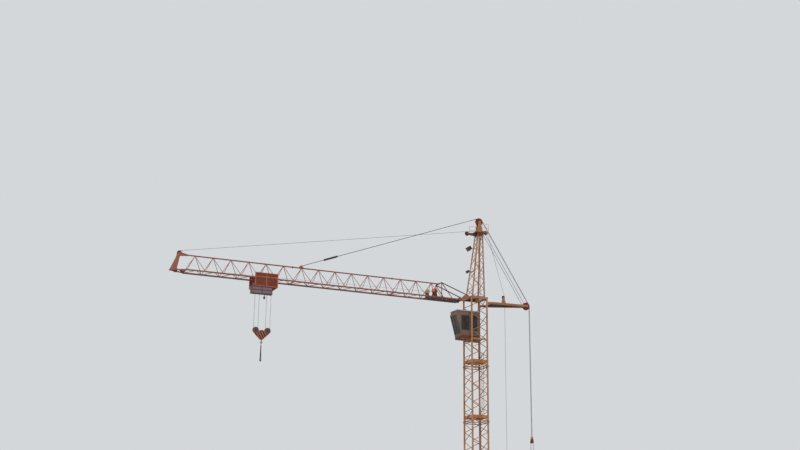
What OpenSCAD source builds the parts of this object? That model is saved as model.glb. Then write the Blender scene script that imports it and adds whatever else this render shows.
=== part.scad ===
/* [Undercarriage] */
// Distance between the two rails, from bogie centre to bogie centre
gauge = 6000; // [5600:100:6600]
// Distance between the bogies along one rail
wheel_base = 6000; // [5600:100:6600]
// Diameter of a travel wheel on its tread
wheel_d = 560; // [500:10:620]
// Distance between the two wheels of one bogie
bogie_pitch = 760; // [720:10:860]
// Outer radius of the ring frame
ring_r = 1450; // [1350:10:1550]
// Height of the ring frame
ring_h = 520; // [480:10:560]
// Height of the outrigger legs
leg_h = 420; // [360:10:440]

/* [Turntable] */
// Outer radius of the slewing race
race_r = 1250; // [1150:10:1300]
// Height of each half of the slewing race
race_h = 90; // [80:5:110]
// Depth of the turntable beams
beam_h = 400; // [360:10:460]
// Width of the turntable
deck_w = 3000; // [2900:50:3200]
// How far the tail reaches behind the slewing axis
tail_x = 5050; // [5050:10:5300]
// Width of one counterweight slab
slab_w = 1200; // [1050:10:1200]
// Thickness of one counterweight slab
slab_t = 300; // [260:10:320]
// Slabs in each of the two stacks
slab_count = 7; // [5:1:8]

/* [Tower] */
// Distance of the tower's centre line in front of the slewing axis
tower_x = 1400; // [1350:10:1450]
// Distance between the tower's chord centre lines
tower_w = 1700; // [1640:10:1800]
// Side of a square tower chord
chord = 140; // [120:5:160]
// Radius of a lacing bar
lacing_r = 32; // [26:1:38]
// Height of the portal that carries the tower
portal_h = 7420; // [7000:20:7800]
// Distance between the portal's leg centre lines
portal_w = 2400; // [2350:10:2500]
// Side of a square portal leg
portal_leg = 200; // [180:5:220]
// Height of one tower section
section_h = 5400; // [5000:50:5700]
// Height of the section that carries the cab and the jib
top_section_h = 6870; // [6700:10:7100]
// Height of the tapered head's lattice
head_h = 6800; // [6400:50:7100]
// Distance between the chord centre lines at the foot of the head
head_base_w = 1350; // [1300:10:1420]
// Distance between the chord centre lines at the top of the head
head_top_w = 520; // [480:10:600]
// How far the head's top stands behind the tower's centre line
head_shift = 500; // [440:10:560]
// Height of one landing above a section's foot
landing_z = 500; // [460:10:560]

/* [Jib] */
// Distance between the jib's lower chord centre lines
jib_w = 1400; // [1300:10:1500]
// Height of the top chord's centre line over the lower ones
jib_d = 1500; // [1400:10:1600]
// Length of one panel of the jib
panel = 1700; // [1650:5:1750]
// Side of a square lower chord
jib_chord = 120; // [100:5:130]
// Radius of the top chord
top_chord_r = 60; // [50:1:70]
// Radius of a jib lacing bar
jib_lacing_r = 26; // [20:1:30]
// Place of the trolley along the jib, from the slewing axis
trolley_x = 23450; // [20000:50:26000]
// Length of the trolley
trolley_l = 2200; // [2100:10:2400]
// Height of the hook block's pins below the jib's lower chords
hook_drop = 4750; // [4000:50:6000]

/* [Rear strut and ropes] */
// Distance of the strut's end sheaves behind the slewing axis
strut_x = 4420; // [4350:10:4500]
// Height of the moving tackle block over the turntable's deck
tackle_z = 11700; // [10000:100:13000]
// Radius of a rope
rope_r = 13; // [10:1:14]
// Pitch radius of the head and strut sheaves
sheave_r = 370; // [340:5:390]
// Pitch radius of the hoist rope's small sheaves
small_r = 210; // [190:5:220]

/* [Cab] */
// Width of the cab
cab_w = 1400; // [1300:10:1440]
// Height of the cab's walls
cab_h = 2580; // [2460:10:2620]
// Thickness of the cab's walls
cab_t = 40; // [30:5:50]
// How far the cab's nose stands out in front of the tower
cab_nose = 1620; // [1500:10:1700]

/* [Hidden] */
$fn = 32;

// Small gap between pieces that only rest against each other
seat = 0.3;
// Running gap between pieces that move past each other
run = 6;

// Levels, upward from the underside of the ring frame
rail_z = -720;
race_z = ring_h;
beam_z = race_z + 2*race_h + seat;
deck_z = beam_z + beam_h;
deck_t = 12;
floor_z = deck_z + deck_t;
portal_top_z = deck_z + portal_h;
lower_z = portal_top_z;
middle_z = lower_z + section_h;
cab_section_z = middle_z + section_h;
head_z = cab_section_z + top_section_h;
head_top_z = head_z + head_h;
jib_z = head_z - 450;
hinge_z = jib_z + 330;
sheave_axis_z = head_top_z + 1180;

// Pinion of the slewing drive, beside the lower race
pinion_r = 130;
drive_angle = 218;
drive_spot = (race_r + pinion_r + run)*[cos(drive_angle), sin(drive_angle)];

// Places along the jib
head_x = tower_x - head_shift;
tower_front = tower_x + tower_w/2;
tower_back = tower_x - tower_w/2;
hinge_x = tower_front + 230;
top_start = 5400;
top_z = jib_z + jib_d;
root_panels = 3;
middle_panels = 6;
end_panels = 6;
chord_start = hinge_x + 700;
root_end = top_start + root_panels*panel;
middle_end = root_end + middle_panels*panel;
jib_end_x = middle_end + end_panels*panel;
rope_line_z = jib_z - 170;
flange_t = 16;
flange_w = 70;

// Sheaves of the hoist rope, each as [x, z, signed radius]
hoist_drum_r = 300;
hoist_rope_x = -1950;
hoist_drum_z = deck_z + deck_t + 520;
luff_drum_r = 240;
drum_start = [hoist_rope_x, hoist_drum_z, 0];
mid_r = 150;
mid_sheave = [hoist_rope_x + mid_r, jib_z + 870, -mid_r];
rear_sheave = [head_x - 730, head_top_z + 120, -small_r];
front_sheave = [head_x + 1380, head_top_z - 200, -small_r];
tip_sheave = [jib_end_x + 550, top_z + 130, -small_r];
low_sheave = [jib_end_x + 850, rope_line_z + small_r, -small_r];
hoist_stops = [drum_start, mid_sheave, rear_sheave, front_sheave, tip_sheave, low_sheave,
    [chord_start + 300, rope_line_z, 0]];

// Sheaves of the luffing ropes and the pendants that they pull
luff_y = 60;
lug_x = top_start + 8.5*panel;
lug_z = top_z + 190;
head_sheave = [head_x, sheave_axis_z, sheave_r];
strut_sheave = [-strut_x, jib_z + 190, sheave_r];
pendant_dir = heading([lug_x, lug_z, 0], head_sheave);
cage_start = 2500;
cage_l = 1300;
function on_pendant(d) = [lug_x + d*cos(pendant_dir), lug_z + d*sin(pendant_dir)];

// Trolley rope, led in a loop beside the hoist rope
trolley_rope_y = 150;
guide_r = 150;
winch_drum = [5910, jib_z + 770, 190];
root_guide = [4900, rope_line_z + guide_r, guide_r];
tip_guide = [jib_end_x + 250, rope_line_z + guide_r, guide_r];

// Places on the trolley and the hook block
fall_gap = 1550;
outer_fall = fall_gap/2;
inner_fall = outer_fall - 2*small_r;
trolley_wheel_r = 95;
trolley_wheel_x = 780;
wheel_y = jib_w/2 + jib_chord/2 + 40;
side_y = jib_w/2 + jib_chord/2 + 100;
wheel_z = jib_z - jib_chord/2 + flange_t + trolley_wheel_r + seat;
trolley_sheave_z = rope_line_z - small_r;
hook_z = jib_z - hook_drop;
block_sheave_x = outer_fall - small_r;

// A bar with n sides from point a to point b
module bar(a, b, r = lacing_r, n = 6) {
    v = b - a;
    len = norm(v);
    translate(a) rotate([0, acos(v.z/len), atan2(v.y, v.x)]) cylinder(h = len, r = r, $fn = n);
}

// A flat bar from point a to point b, w wide level and t deep
module flat_bar(a, b, w, t) {
    v = b - a;
    len = norm(v);
    translate(a) rotate([0, acos(v.z/len), atan2(v.y, v.x)])
        translate([-t/2, -w/2, 0]) cube([t, w, len]);
}

// A box given by its two corners
module block(a, b) {
    translate(a) cube(b - a);
}

// A shape made once and again mirrored to the other side
module both_sides() {
    children();
    mirror([0, 1, 0]) children();
}

// A round pin or drum across the crane, centred on y
module cross_pin(x, z, r, len, y = 0) {
    translate([x, y + len/2, z]) rotate([90, 0, 0]) cylinder(h = len, r = r, $fn = 32);
}

// A sheave across the crane with one groove for the rope
module sheave(x, z, pitch, y = 0, width = 60, pin_r = 40, pin_l = 0) {
    groove = pitch - rope_r - seat;
    rim = pitch + 1.5*rope_r;
    half = width/2;
    translate([x, y, z]) rotate([90, 0, 0]) rotate_extrude($fn = 48) polygon([
        [0, -half], [rim, -half], [rim, -half + 5], [groove, -rope_r], [groove, rope_r],
        [rim, half - 5], [rim, half], [0, half]]);
    if (pin_l > 0) cross_pin(x, z, pin_r, pin_l, y);
}

// Direction, in degrees, of the rope between two sheaves [x, z, signed radius]
function heading(a, b) =
    let (dx = b[0] - a[0], dz = b[1] - a[1])
    atan2(dz, dx) - asin((b[2] - a[2])/norm([dx, dz]));

// Where a rope with that heading touches a sheave
function touch(s, t, k = 1) = [s[0] + k*s[2]*sin(t), s[1] - k*s[2]*cos(t)];

function wrap(a) = let (m = a - 360*floor(a/360)) m > 359 ? 0 : m;
function turn(s, t1, t2) = s[2] > 0 ? wrap(t2 - t1) : -wrap(t1 - t2);

// Points of the rope on one sheave, from its incoming to its outgoing heading
function on_sheave(s, t1, t2) =
    let (sweep = turn(s, t1, t2), steps = ceil(abs(sweep)/15), step = steps == 0 ? 0 : sweep/steps)
    concat([touch(s, t1)], steps == 0 ? [] : [
        for (i = [0:steps-1]) touch(s, t1 + (i + 0.5)*step, 1/cos(step/2)),
        touch(s, t2)]);

// Points of a rope led over a row of sheaves; its two ends have radius 0
function rope_route(s) = let (n = len(s)) concat(
    [[s[0][0], s[0][1]]],
    [for (i = [1:n-2]) each on_sheave(s[i], heading(s[i-1], s[i]), heading(s[i], s[i+1]))],
    [[s[n-1][0], s[n-1][1]]]);

function unit(v) = v/norm(v);
function tangent(p, i) =
    i == 0 ? unit(p[1] - p[0])
    : i == len(p) - 1 ? unit(p[i] - p[i-1])
    : unit(unit(p[i+1] - p[i]) + unit(p[i] - p[i-1]));

// A rope of six sides along points [x, z], in the upright plane at y
module rope(p, y = 0, r = rope_r) {
    sides = 6;
    last = len(p) - 1;
    points = [for (i = [0:last]) let (t = tangent(p, i)) for (k = [0:sides-1])
        let (a = 360*k/sides) [p[i][0] - r*cos(a)*t[1], y + r*sin(a), p[i][1] + r*cos(a)*t[0]]];
    walls = [for (i = [0:last-1]) for (k = [0:sides-1]) let (m = (k + 1) % sides)
        [i*sides + k, i*sides + m, (i+1)*sides + m, (i+1)*sides + k]];
    start = [[for (k = [sides-1:-1:0]) k]];
    finish = [[for (k = [0:sides-1]) last*sides + k]];
    polyhedron(points, concat(walls, start, finish), convexity = 4);
}

/* Undercarriage */

module ring_frame() {
    wall = 260;
    plate = 20;
    color("goldenrod") difference() {
        union() {
            cylinder(h = ring_h, r = ring_r, $fn = 64);
            for (a = [45:90:315]) rotate(a) block([ring_r - 80, -230, 60], [ring_r + 60, 230, 460]);
        }
        translate([0, 0, plate]) cylinder(h = ring_h, r = ring_r - wall, $fn = 64);
    }
}

module at_corners() {
    for (sx = [-1, 1], sy = [-1, 1])
        translate([sx*wheel_base/2, sy*gauge/2, 0]) scale([sx, sy, 1]) children();
}

kingpin_r = 160;
bogie_top = -130;

module outrigger_legs() {
    reach = norm([wheel_base, gauge])/2;
    lean = atan2(gauge, wheel_base);
    root = ring_r + 60 + seat;
    color("goldenrod") for (a = [lean, 180 - lean, 180 + lean, -lean]) rotate(a) {
        translate([0, 0, ring_h - leg_h]) linear_extrude(leg_h - 60)
            polygon([[root, -220], [reach, -150], [reach, 150], [root, 220]]);
        translate([reach, 0, bogie_top]) cylinder(h = leg_h + 180, r = kingpin_r);
    }
}

plate_gap = 190;
axle_r = 45;

module bogie_frames() {
    axle_z = rail_z + wheel_d/2;
    color("goldenrod") for (sx = [-1, 1], sy = [-1, 1])
        translate([sx*wheel_base/2, sy*gauge/2, 0]) {
            for (sd = [-1, 1]) translate([0, sd*(plate_gap/2 + 15) + 15, 0]) rotate([90, 0, 0])
                linear_extrude(30) difference() {
                    polygon([[-bogie_pitch/2 - 150, axle_z - 110], [bogie_pitch/2 + 150, axle_z - 110],
                        [bogie_pitch/2 + 150, axle_z + 120], [190, bogie_top - 60], [-190, bogie_top - 60],
                        [-bogie_pitch/2 - 150, axle_z + 120]]);
                    for (e = [-1, 1]) translate([e*bogie_pitch/2, axle_z]) circle(r = axle_r + 0.5);
                }
            block([-190, -plate_gap/2 - 30, bogie_top - 60], [190, plate_gap/2 + 30, bogie_top]);
        }
}

module travel_wheels() {
    axle_z = rail_z + wheel_d/2;
    color("dimgray") for (sx = [-1, 1], sy = [-1, 1], e = [-1, 1])
        translate([sx*wheel_base/2 + e*bogie_pitch/2, sy*gauge/2, axle_z]) rotate([90, 0, 0]) {
            rotate_extrude($fn = 48) polygon([[0, -75], [wheel_d/2 + 28, -75], [wheel_d/2 + 24, -52],
                [wheel_d/2, -46], [wheel_d/2, 46], [wheel_d/2 + 24, 52], [wheel_d/2 + 28, 75], [0, 75]]);
            translate([0, 0, -plate_gap/2 - 45]) cylinder(h = plate_gap + 90, r = axle_r);
        }
}

module lower_race() {
    color("dimgray") translate([0, 0, race_z]) difference() {
        cylinder(h = race_h, r = race_r, $fn = 64);
        translate([0, 0, -1]) cylinder(h = race_h + 2, r = race_r - 150, $fn = 64);
    }
}

/* Turntable */

deck_beams = [-3350, -2300, -600];

module turntable() {
    nose_x = tower_x + portal_w/2 + portal_leg/2;
    beam_w = 220;
    portal_y = portal_w/2;
    color("goldenrod") {
        both_sides() block([-tail_x, portal_y - beam_w/2, beam_z], [nose_x, portal_y + beam_w/2, deck_z]);
        for (x = concat([-tail_x], deck_beams, [tower_x - portal_w/2 - 100, nose_x - 200]))
            block([x, -portal_y, beam_z + 40], [x + 200, portal_y, deck_z - 20]);
        both_sides() block([-tail_x, 300, beam_z + 60], [-600, 420, deck_z]);
        difference() {
            translate([0, 0, beam_z - race_h]) cylinder(h = race_h + 70, r = race_r, $fn = 64);
            translate([0, 0, beam_z - race_h - 1]) cylinder(h = race_h + 72, r = race_r - 170, $fn = 64);
        }
        difference() {
            deck_plate();
            translate(concat(drive_spot, beam_z)) cylinder(h = beam_h + 100, r = 75);
        }
    }
}

module deck_plate() {
    side = deck_w/2;
    block([-tail_x + 650, -side, deck_z - 1],
        [tower_x - portal_w/2 - portal_leg/2 - 40, side, floor_z]);
    block([0, -portal_w/2 + portal_leg/2 + seat, deck_z - 1],
        [tower_x + portal_w/2 - 100, portal_w/2 - portal_leg/2 - seat, floor_z]);
    for (x = deck_beams) block([x, -side, deck_z - 130], [x + 120, side, deck_z]);
    for (s = [-1, 1]) block([-tail_x, s*190 - 15, beam_z + 60], [-tail_x + 600, s*190 + 15, floor_z + 330]);
    block([-tail_x, -320, beam_z + 60], [-tail_x + 600, 320, deck_z - 20]);
}

slab_l = 900;
stack_x = -tail_x + 700;
slab_y = 330;

module counterweights() {
    pitch = slab_t + seat;
    color("darkgray") both_sides() for (i = [0:slab_count-1])
        difference() {
            block([stack_x, slab_y, floor_z + i*pitch],
                [stack_x + slab_l, slab_y + slab_w - 30, floor_z + i*pitch + slab_t]);
            for (y = [slab_y + 250, slab_y + slab_w - 280]) for (x = [stack_x - 1, stack_x + slab_l - 59])
                block([x, y - 60, floor_z + i*pitch + 60], [x + 60, y + 60, floor_z + i*pitch + slab_t - 60]);
        }
}

hoist_drum_x = hoist_rope_x + hoist_drum_r;
luff_drum_x = -2700;
luff_drum_z = floor_z + 440;

module drum(x, z, r, len) {
    color("firebrick") {
        cross_pin(x, z, r - rope_r, len);
        for (s = [-1, 1]) cross_pin(x, z, r + 90, 24, s*len/2);
        cross_pin(x, z, 50, len + 240 - 2*seat);
    }
}

module winch_drums() {
    drum(hoist_drum_x, hoist_drum_z, hoist_drum_r, 800);
    drum(luff_drum_x, luff_drum_z, luff_drum_r, 700);
}

module winch_frame(x, z, len, side) {
    stand = len/2 + 120;
    color("slategray") {
        block([x - 350, -stand - 80, floor_z], [x + 350, stand + 80, floor_z + 90]);
        for (s = [-1, 1]) block([x - 110, s*(stand + 40) - 40, floor_z], [x + 110, s*(stand + 40) + 40, z + 90]);
        scale([1, side, 1]) {
            block([x - 260, stand + 80, floor_z], [x + 180, stand + 340, z + 160]);
            block([x - 640, stand + 120, z - 130], [x - 180, stand + 300, z + 60]);
            block([x - 640, stand - 260, floor_z], [x - 480, stand + 300, z - 100]);
            translate([x - 560, stand + 125, z - 30]) rotate([90, 0, 0]) cylinder(h = 430, r = 150);
        }
    }
}

module winch_frames() {
    winch_frame(hoist_drum_x, hoist_drum_z, 800, 1);
    winch_frame(luff_drum_x, luff_drum_z, 700, -1);
}

module slewing_drive() {
    color("slategray") translate([drive_spot[0], drive_spot[1], 0]) {
        translate([0, 0, race_z + 5]) cylinder(h = race_h - 10, r = pinion_r);
        translate([0, 0, race_z + 5]) cylinder(h = floor_z - race_z, r = 60);
        translate([0, 0, floor_z]) cylinder(h = 380, r = 200);
        translate([0, 0, floor_z + 380]) cylinder(h = 60, r = 150);
        translate([0, 0, floor_z + 440]) cylinder(h = 420, r = 135);
    }
}

module electric_cabinet() {
    color("lightsteelblue") {
        block([-1080, 800, floor_z], [-340, 1350, floor_z + 1600]);
        block([-1110, 770, floor_z + 1600], [-310, 1380, floor_z + 1640]);
    }
}

module deck_railing() {
    side = deck_w/2 - 40;
    top = floor_z + 1050;
    spacing = 1000;
    xs = [for (i = [0:3]) deck_beams[0] + 100 + i*spacing];
    color("gold") both_sides() {
        for (x = xs) bar([x, side, floor_z], [x, side, top + 20], 22);
        for (z = [floor_z + 550, top]) bar([xs[0] - 30, side, z], [xs[3] + 30, side, z], 18);
    }
}

/* Portal and tower */

module upright(x, y, z1, z2, side) {
    block([x - side/2, y - side/2, z1], [x + side/2, y + side/2, z2]);
}

module portal() {
    half = portal_w/2;
    top = 220;
    z1 = deck_z;
    z2 = portal_top_z - top;
    bays = 3;
    step = (z2 - z1 - 300)/bays;
    color("goldenrod") translate([tower_x, 0, 0]) {
        for (sx = [-1, 1], sy = [-1, 1]) upright(sx*half, sy*half, z1, z2 + 20, portal_leg);
        for (s = [-1, 1]) {
            block([-half - 100, s*half - 100, z2], [half + 100, s*half + 100, portal_top_z]);
            block([s*half - 100, -half, z2 + 20], [s*half + 100, half, portal_top_z - 20]);
            block([-half, s*tower_w/2 - 120, z2 + 20], [half, s*tower_w/2 + 120, portal_top_z]);
        }
        for (i = [0:bays-1]) let (z = z1 + 150 + i*step) {
            for (s = [-1, 1]) {
                bar([-half, s*half, z], [half, s*half, z + step/2], 45);
                bar([half, s*half, z + step/2], [-half, s*half, z + step], 45);
            }
            bar([-half, -half, z], [-half, half, z + step/2], 45);
            bar([-half, half, z + step/2], [-half, -half, z + step], 45);
        }
    }
    color("goldenrod") portal_braces();
}

// Long braces from the portal's rear legs down to the turntable's side beams
module portal_braces() {
    half = portal_w/2;
    top = [tower_x - half, half, portal_top_z - 700];
    foot = [deck_beams[0] + 200, half, deck_z];
    both_sides() intersection() {
        flat_bar(foot - [120, 0, 250], top, 140, 180);
        block([foot.x - 400, 0, floor_z + seat], [top.x, 2*half, portal_top_z]);
    }
}

flange_half = 115;

// Flange plate at one end of a chord
module flange(x, y, z, t = 20) {
    block([x - flange_half, y - flange_half, z], [x + flange_half, y + flange_half, z + t]);
}

// One side of a square lattice between two chords, as a zigzag of bars
module zigzag(a1, b1, a2, b2, pitches, r) {
    n = 2*pitches;
    for (i = [0:n-1]) {
        p = i % 2 == 0 ? a1 + (a2 - a1)*i/n : b1 + (b2 - b1)*i/n;
        q = i % 2 == 0 ? b1 + (b2 - b1)*(i + 1)/n : a1 + (a2 - a1)*(i + 1)/n;
        bar(p, q, r);
    }
}

module square_lattice(z1, z2, pitches, r = lacing_r, open_side = -1) {
    h = tower_w/2;
    edge = 110;
    corners = [[h, h], [-h, h], [-h, -h], [h, -h]];
    for (c = corners) {
        upright(tower_x + c.x, c.y, z1, z2, chord);
        flange(tower_x + c.x, c.y, z1);
        flange(tower_x + c.x, c.y, z2 - 20);
    }
    for (i = [0:3]) {
        a = corners[i];
        b = corners[(i + 1) % 4];
        pa = [tower_x + a.x, a.y, 0];
        pb = [tower_x + b.x, b.y, 0];
        if (i != open_side) for (z = [z1 + edge, z2 - edge])
            bar(pa + [0, 0, z], pb + [0, 0, z], r + 8, 4);
        if (i != open_side) zigzag(pa + [0, 0, z1 + edge], pb + [0, 0, z1 + edge], pa + [0, 0, z2 - edge],
            pb + [0, 0, z2 - edge], pitches, r);
    }
}

module lower_section() {
    color("goldenrod") square_lattice(lower_z, middle_z, 3);
}

module middle_section() {
    color("goldenrod") square_lattice(middle_z, cab_section_z, 3);
}

cab_z = jib_z - 3700;
cab_lean = 580;
cab_beam = 160;
cab_back = tower_back + 820;
lug_gap = 64;
hinge_pin_r = 45;

// A pair of upright lug plates with a hole for a pin across the crane
module lug_pair(x, y, z, r, root_x) {
    for (s = [-1, 1]) translate([0, y + s*(lug_gap/2 + 15) + 15, 0]) rotate([90, 0, 0])
        linear_extrude(30) difference() {
            union() {
                translate([x, z]) circle(r = r);
                polygon([[x, z - r], [x, z + r], [root_x, z + r], [root_x, z - r]]);
            }
            translate([x, z]) circle(r = hinge_pin_r + seat);
        }
}

module cab_section() {
    h = tower_w/2;
    top = 180;
    low = cab_z - cab_beam;
    color("goldenrod") {
        square_lattice(cab_section_z, head_z, 4, lacing_r, 3);
        for (s = [-1, 1]) {
            block([tower_x + s*h - 70, -h, head_z - top - 20], [tower_x + s*h + 70, h, head_z - 20]);
            block([tower_back, s*h - 40, low], [tower_front, s*h + 40, cab_z]);
        }
        for (z = [cab_section_z + 110, low - 250]) bar([tower_front, -h, z], [tower_front, h, z], 40, 4);
        zigzag([tower_front, -h, cab_section_z + 110], [tower_front, h, cab_section_z + 110],
            [tower_front, -h, low - 250], [tower_front, h, low - 250], 1, lacing_r);
        block([tower_front - 60, -h, low], [tower_front + 60, h, cab_z]);
        block([cab_back - 120, -h, low], [cab_back, h, cab_z]);
        both_sides() {
            block([tower_back - 70, head_base_w/2 - flange_half, head_z - top - 20],
                [tower_front + 70, h + 70, head_z]);
            lug_pair(hinge_x, jib_w/2, hinge_z, 95, tower_front);
            lug_pair(tower_back - 190, h, strut_root_z, 95, tower_back);
            block([cab_back - 60, 400, low], [tower_front + cab_nose - cab_lean - 30, 480, cab_z]);
        }
    }
}

module tower_head() {
    h = head_base_w/2;
    g = head_top_w/2;
    edge = 90;
    corners = [[1, 1], [-1, 1], [-1, -1], [1, -1]];
    foot = [for (c = corners) [tower_x + c.x*h, c.y*h, head_z]];
    peak = [for (c = corners) [head_x + c.x*g, c.y*g, head_top_z]];
    color("goldenrod") {
        intersection() {
            union() {
                for (i = [0:3]) {
                    d = (peak[i] - foot[i])/head_h*60;
                    flat_bar(foot[i] - d, peak[i] + d, chord - 20, chord - 20);
                }
            }
            block([tower_back - 200, -tower_w, head_z], [tower_front + 200, tower_w, head_top_z - platform_drop - 1]);
        }
        for (i = [0:3]) {
            j = (i + 1) % 4;
            lift = (peak[i] - foot[i])*edge/head_h;
            lift_j = (peak[j] - foot[j])*edge/head_h;
            flange(foot[i].x, foot[i].y, head_z);
            bar(foot[i] + lift, foot[j] + lift_j, lacing_r + 8, 4);
            zigzag(foot[i] + lift, foot[j] + lift_j, peak[i] - lift, peak[j] - lift_j, 4, lacing_r - 4);
        }
        for (z = lamp_levels) let (w = head_half(z))
            block([head_front(z) - 30, -w, z + 30], [head_front(z) + 30, w, z + 90]);
        block([head_x - g - 70, -g - 70, head_top_z - 60], [head_x + g + 70, g + 70, head_top_z]);
        head_cheeks();
        front_bracket();
    }
}

cheek_y = 150;
bracket_y = 45;

platform_drop = 58;

// Two cheek plates on the head, with arms for the rear sheave of the hoist rope
module head_cheeks() {
    x = rear_sheave[0];
    z = rear_sheave[1];
    for (s = [-1, 1]) translate([0, s*(cheek_y + 15) + 15, 0]) rotate([90, 0, 0]) linear_extrude(30)
        polygon([[head_x - 300, head_top_z - 30], [head_x + 300, head_top_z - 30],
            [head_x + 280, head_top_z + 260], [head_x + 110, sheave_axis_z + 60],
            [head_x - 110, sheave_axis_z + 60], [head_x - 280, z + 180],
            [x - 60, z + 70], [x - 80, z], [x - 40, z - 70]]);
}

// Two plates below the head's platform for the front sheave of the hoist rope
module front_bracket() {
    x = front_sheave[0];
    z = front_sheave[1];
    root = head_x + head_top_w/2;
    under = head_top_z - 70;
    for (s = [-1, 1]) translate([0, s*(bracket_y + 10) + 10, 0]) rotate([90, 0, 0]) linear_extrude(20)
        polygon([[root - 10, head_top_z - 50], [root + 60, head_top_z - 50], [root + 60, under],
            [root + 420, under], [x + 50, z + 70], [x + 80, z], [x + 40, z - 70], [root + 90, z - 190],
            [root - 10, z - 190]]);
    rest_z = z - 170;
    rest_x = head_front(rest_z);
    bar([rest_x, -head_half(rest_z), rest_z], [rest_x, head_half(rest_z), rest_z], 36, 4);
}

module luffing_sheaves() {
    color("firebrick") for (s = [-1, 1]) {
        sheave(head_sheave[0], head_sheave[1], sheave_r, s*luff_y);
        sheave(strut_sheave[0], strut_sheave[1], sheave_r, s*luff_y);
    }
    color("firebrick") {
        cross_pin(head_sheave[0], head_sheave[1], 55, 2*cheek_y - 2*seat);
        cross_pin(strut_sheave[0], strut_sheave[1], 55, 2*strut_end_y - 120 - 2*seat);
    }
}

module hoist_sheaves() {
    color("firebrick") {
        sheave(mid_sheave[0], mid_sheave[1], mid_r, 0, 60, 40, 90 - 2*seat);
        sheave(rear_sheave[0], rear_sheave[1], small_r, 0, 60, 40, 2*cheek_y - 2*seat);
        sheave(front_sheave[0], front_sheave[1], small_r, 0, 60, 40, 2*bracket_y - 2*seat);
        for (s = [tip_sheave, low_sheave]) sheave(s[0], s[1], small_r, 0, 60, 40, 2*tip_y - 2*seat);
        sheave(root_guide[0], root_guide[1], guide_r, trolley_rope_y, 60, 30, 90 - 2*seat);
        sheave(tip_guide[0], tip_guide[1], guide_r, trolley_rope_y, 60, 30, 90 - 2*seat);
    }
}

module head_platform() {
    out = 720;
    hole = head_top_w/2 + 70 + seat;
    z = head_top_z - platform_drop;
    slot_y = cheek_y + 80;
    rail = z + 900;
    color("goldenrod") {
        difference() {
            block([head_x - out, -out, z], [head_x + out, out, z + 10]);
            block([head_x - hole, -hole, z - 1], [head_x + hole, hole, z + 11]);
            block([head_x - out - 1, -slot_y, z - 1], [rear_sheave[0] + small_r + 50, slot_y, z + 11]);
        }
        both_sides() {
            block([head_x - out, out - 6, z], [head_x + out, out, z + 110]);
            for (x = [head_x - out + 20, head_x, head_x + out - 20])
                bar([x, out - 25, z], [x, out - 25, rail], 17);
            for (k = [z + 480, rail]) bar([head_x - out + 5, out - 25, k], [head_x + out - 5, out - 25, k], 15);
        }
    }
}

module landing(z, hatch_side) {
    out = tower_w/2 - lacing_r - 12;
    cut = tower_w/2 - chord/2 - seat;
    depth = 180;
    front = ladder_x - tower_x;
    color("darkgoldenrod") translate([tower_x, 0, z]) difference() {
        union() {
            block([-out, -out, 0], [out, out, 8]);
            for (s = [-1, 1]) {
                block([-out, s*(out - 4) - 4, -depth], [out, s*(out - 4) + 4, 130]);
                block([s*(out - 4) - 4, -out, -depth], [s*(out - 4) + 4, out, 130]);
            }
            for (s = [-0.5, 0, 0.5]) block([-out, s*out - 25, -0.7*depth], [out, s*out + 25, 0]);
        }
        for (sx = [-1, 1], sy = [-1, 1]) scale([sx, sy, 1]) translate([cut, cut, -depth - 1])
            cube([200, 200, depth + 200]);
        scale([1, hatch_side, 1]) block([front - 100, 40, -depth - 1], [front + 560, 640, 9]);
    }
}

landing_levels = [for (i = [0:2]) lower_z + i*section_h + landing_z];

// Small landing behind the cab's door, on the beams that carry the cab
module cab_landing() {
    out = tower_w/2 - chord/2 - 10;
    color("darkgoldenrod") difference() {
        block([tower_back + chord/2 + 10, -out - 38, cab_z], [cab_back - 45, out + 38, cab_z + 8]);
        block([tower_back + 150, -640, cab_z - 1], [cab_back - 100, -40, cab_z + 9]);
    }
}

module landings() {
    cab_landing();
    for (i = [0:2]) landing(landing_levels[i], i % 2 == 0 ? 1 : -1);
}

ladder_x = tower_x - head_base_w/2 + 95;
ladder_y = 315;

module ladder(z1, z2, y, x = ladder_x, half = 190) {
    rungs = floor((z2 - z1 - 200)/300);
    color("goldenrod") {
        for (s = [-1, 1]) bar([x, y + s*half, z1], [x, y + s*half, z2], 22);
        for (i = [0:rungs-1]) bar([x, y - half, z1 + 250 + i*300], [x, y + half, z1 + 250 + i*300], 11);
    }
}

module ladders() {
    ladder(floor_z, landing_levels[0] + 900, ladder_y);
    ladder(landing_levels[0] + 8 + seat, landing_levels[1] + 900, -ladder_y);
    ladder(landing_levels[1] + 8 + seat, landing_levels[2] + 900, ladder_y);
    ladder(landing_levels[2] + 8 + seat, head_z + 300, -ladder_y);
    ladder(head_z + 300 + seat, head_top_z - 60 - seat, 0, head_x, 150);
}

// A lamp housing of size [depth, width, height] on a short arm
module floodlight(x, z, root_x, size) {
    back = -0.6*size[0];
    front = 0.4*size[0];
    rim = size[2]/2 + 20;
    color("dimgray") {
        bar([root_x, 0, z + 60], [x + back/2, 0, z + 60], 18);
        translate([x, 0, z]) rotate([0, 35, 0]) {
            block([back, -size[1]/2, -size[2]/2], [front, size[1]/2, size[2]/2]);
            block([front, -size[1]/2 - 20, -rim], [front + 30, size[1]/2 + 20, rim]);
        }
    }
}

lamp_levels = [head_z + 5050, head_z + 2650];
lamp_reach = [680, 510];
lamp_sizes = [[320, 540, 380], [190, 380, 230]];
function head_half(z) = (head_base_w + (head_top_w - head_base_w)*(z - head_z)/head_h)/2;
function head_front(z) = tower_x - head_shift*(z - head_z)/head_h + head_half(z);

module floodlights() {
    for (i = [0, 1]) let (z = lamp_levels[i], face = head_front(z))
        floodlight(face + lamp_reach[i], z, face + 30, lamp_sizes[i]);
}

/* Rear strut */

strut_root_z = jib_z - 60;
strut_end_y = 190;
strut_leg_h = 220;
strut_root_x = tower_back - 190;

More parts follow.
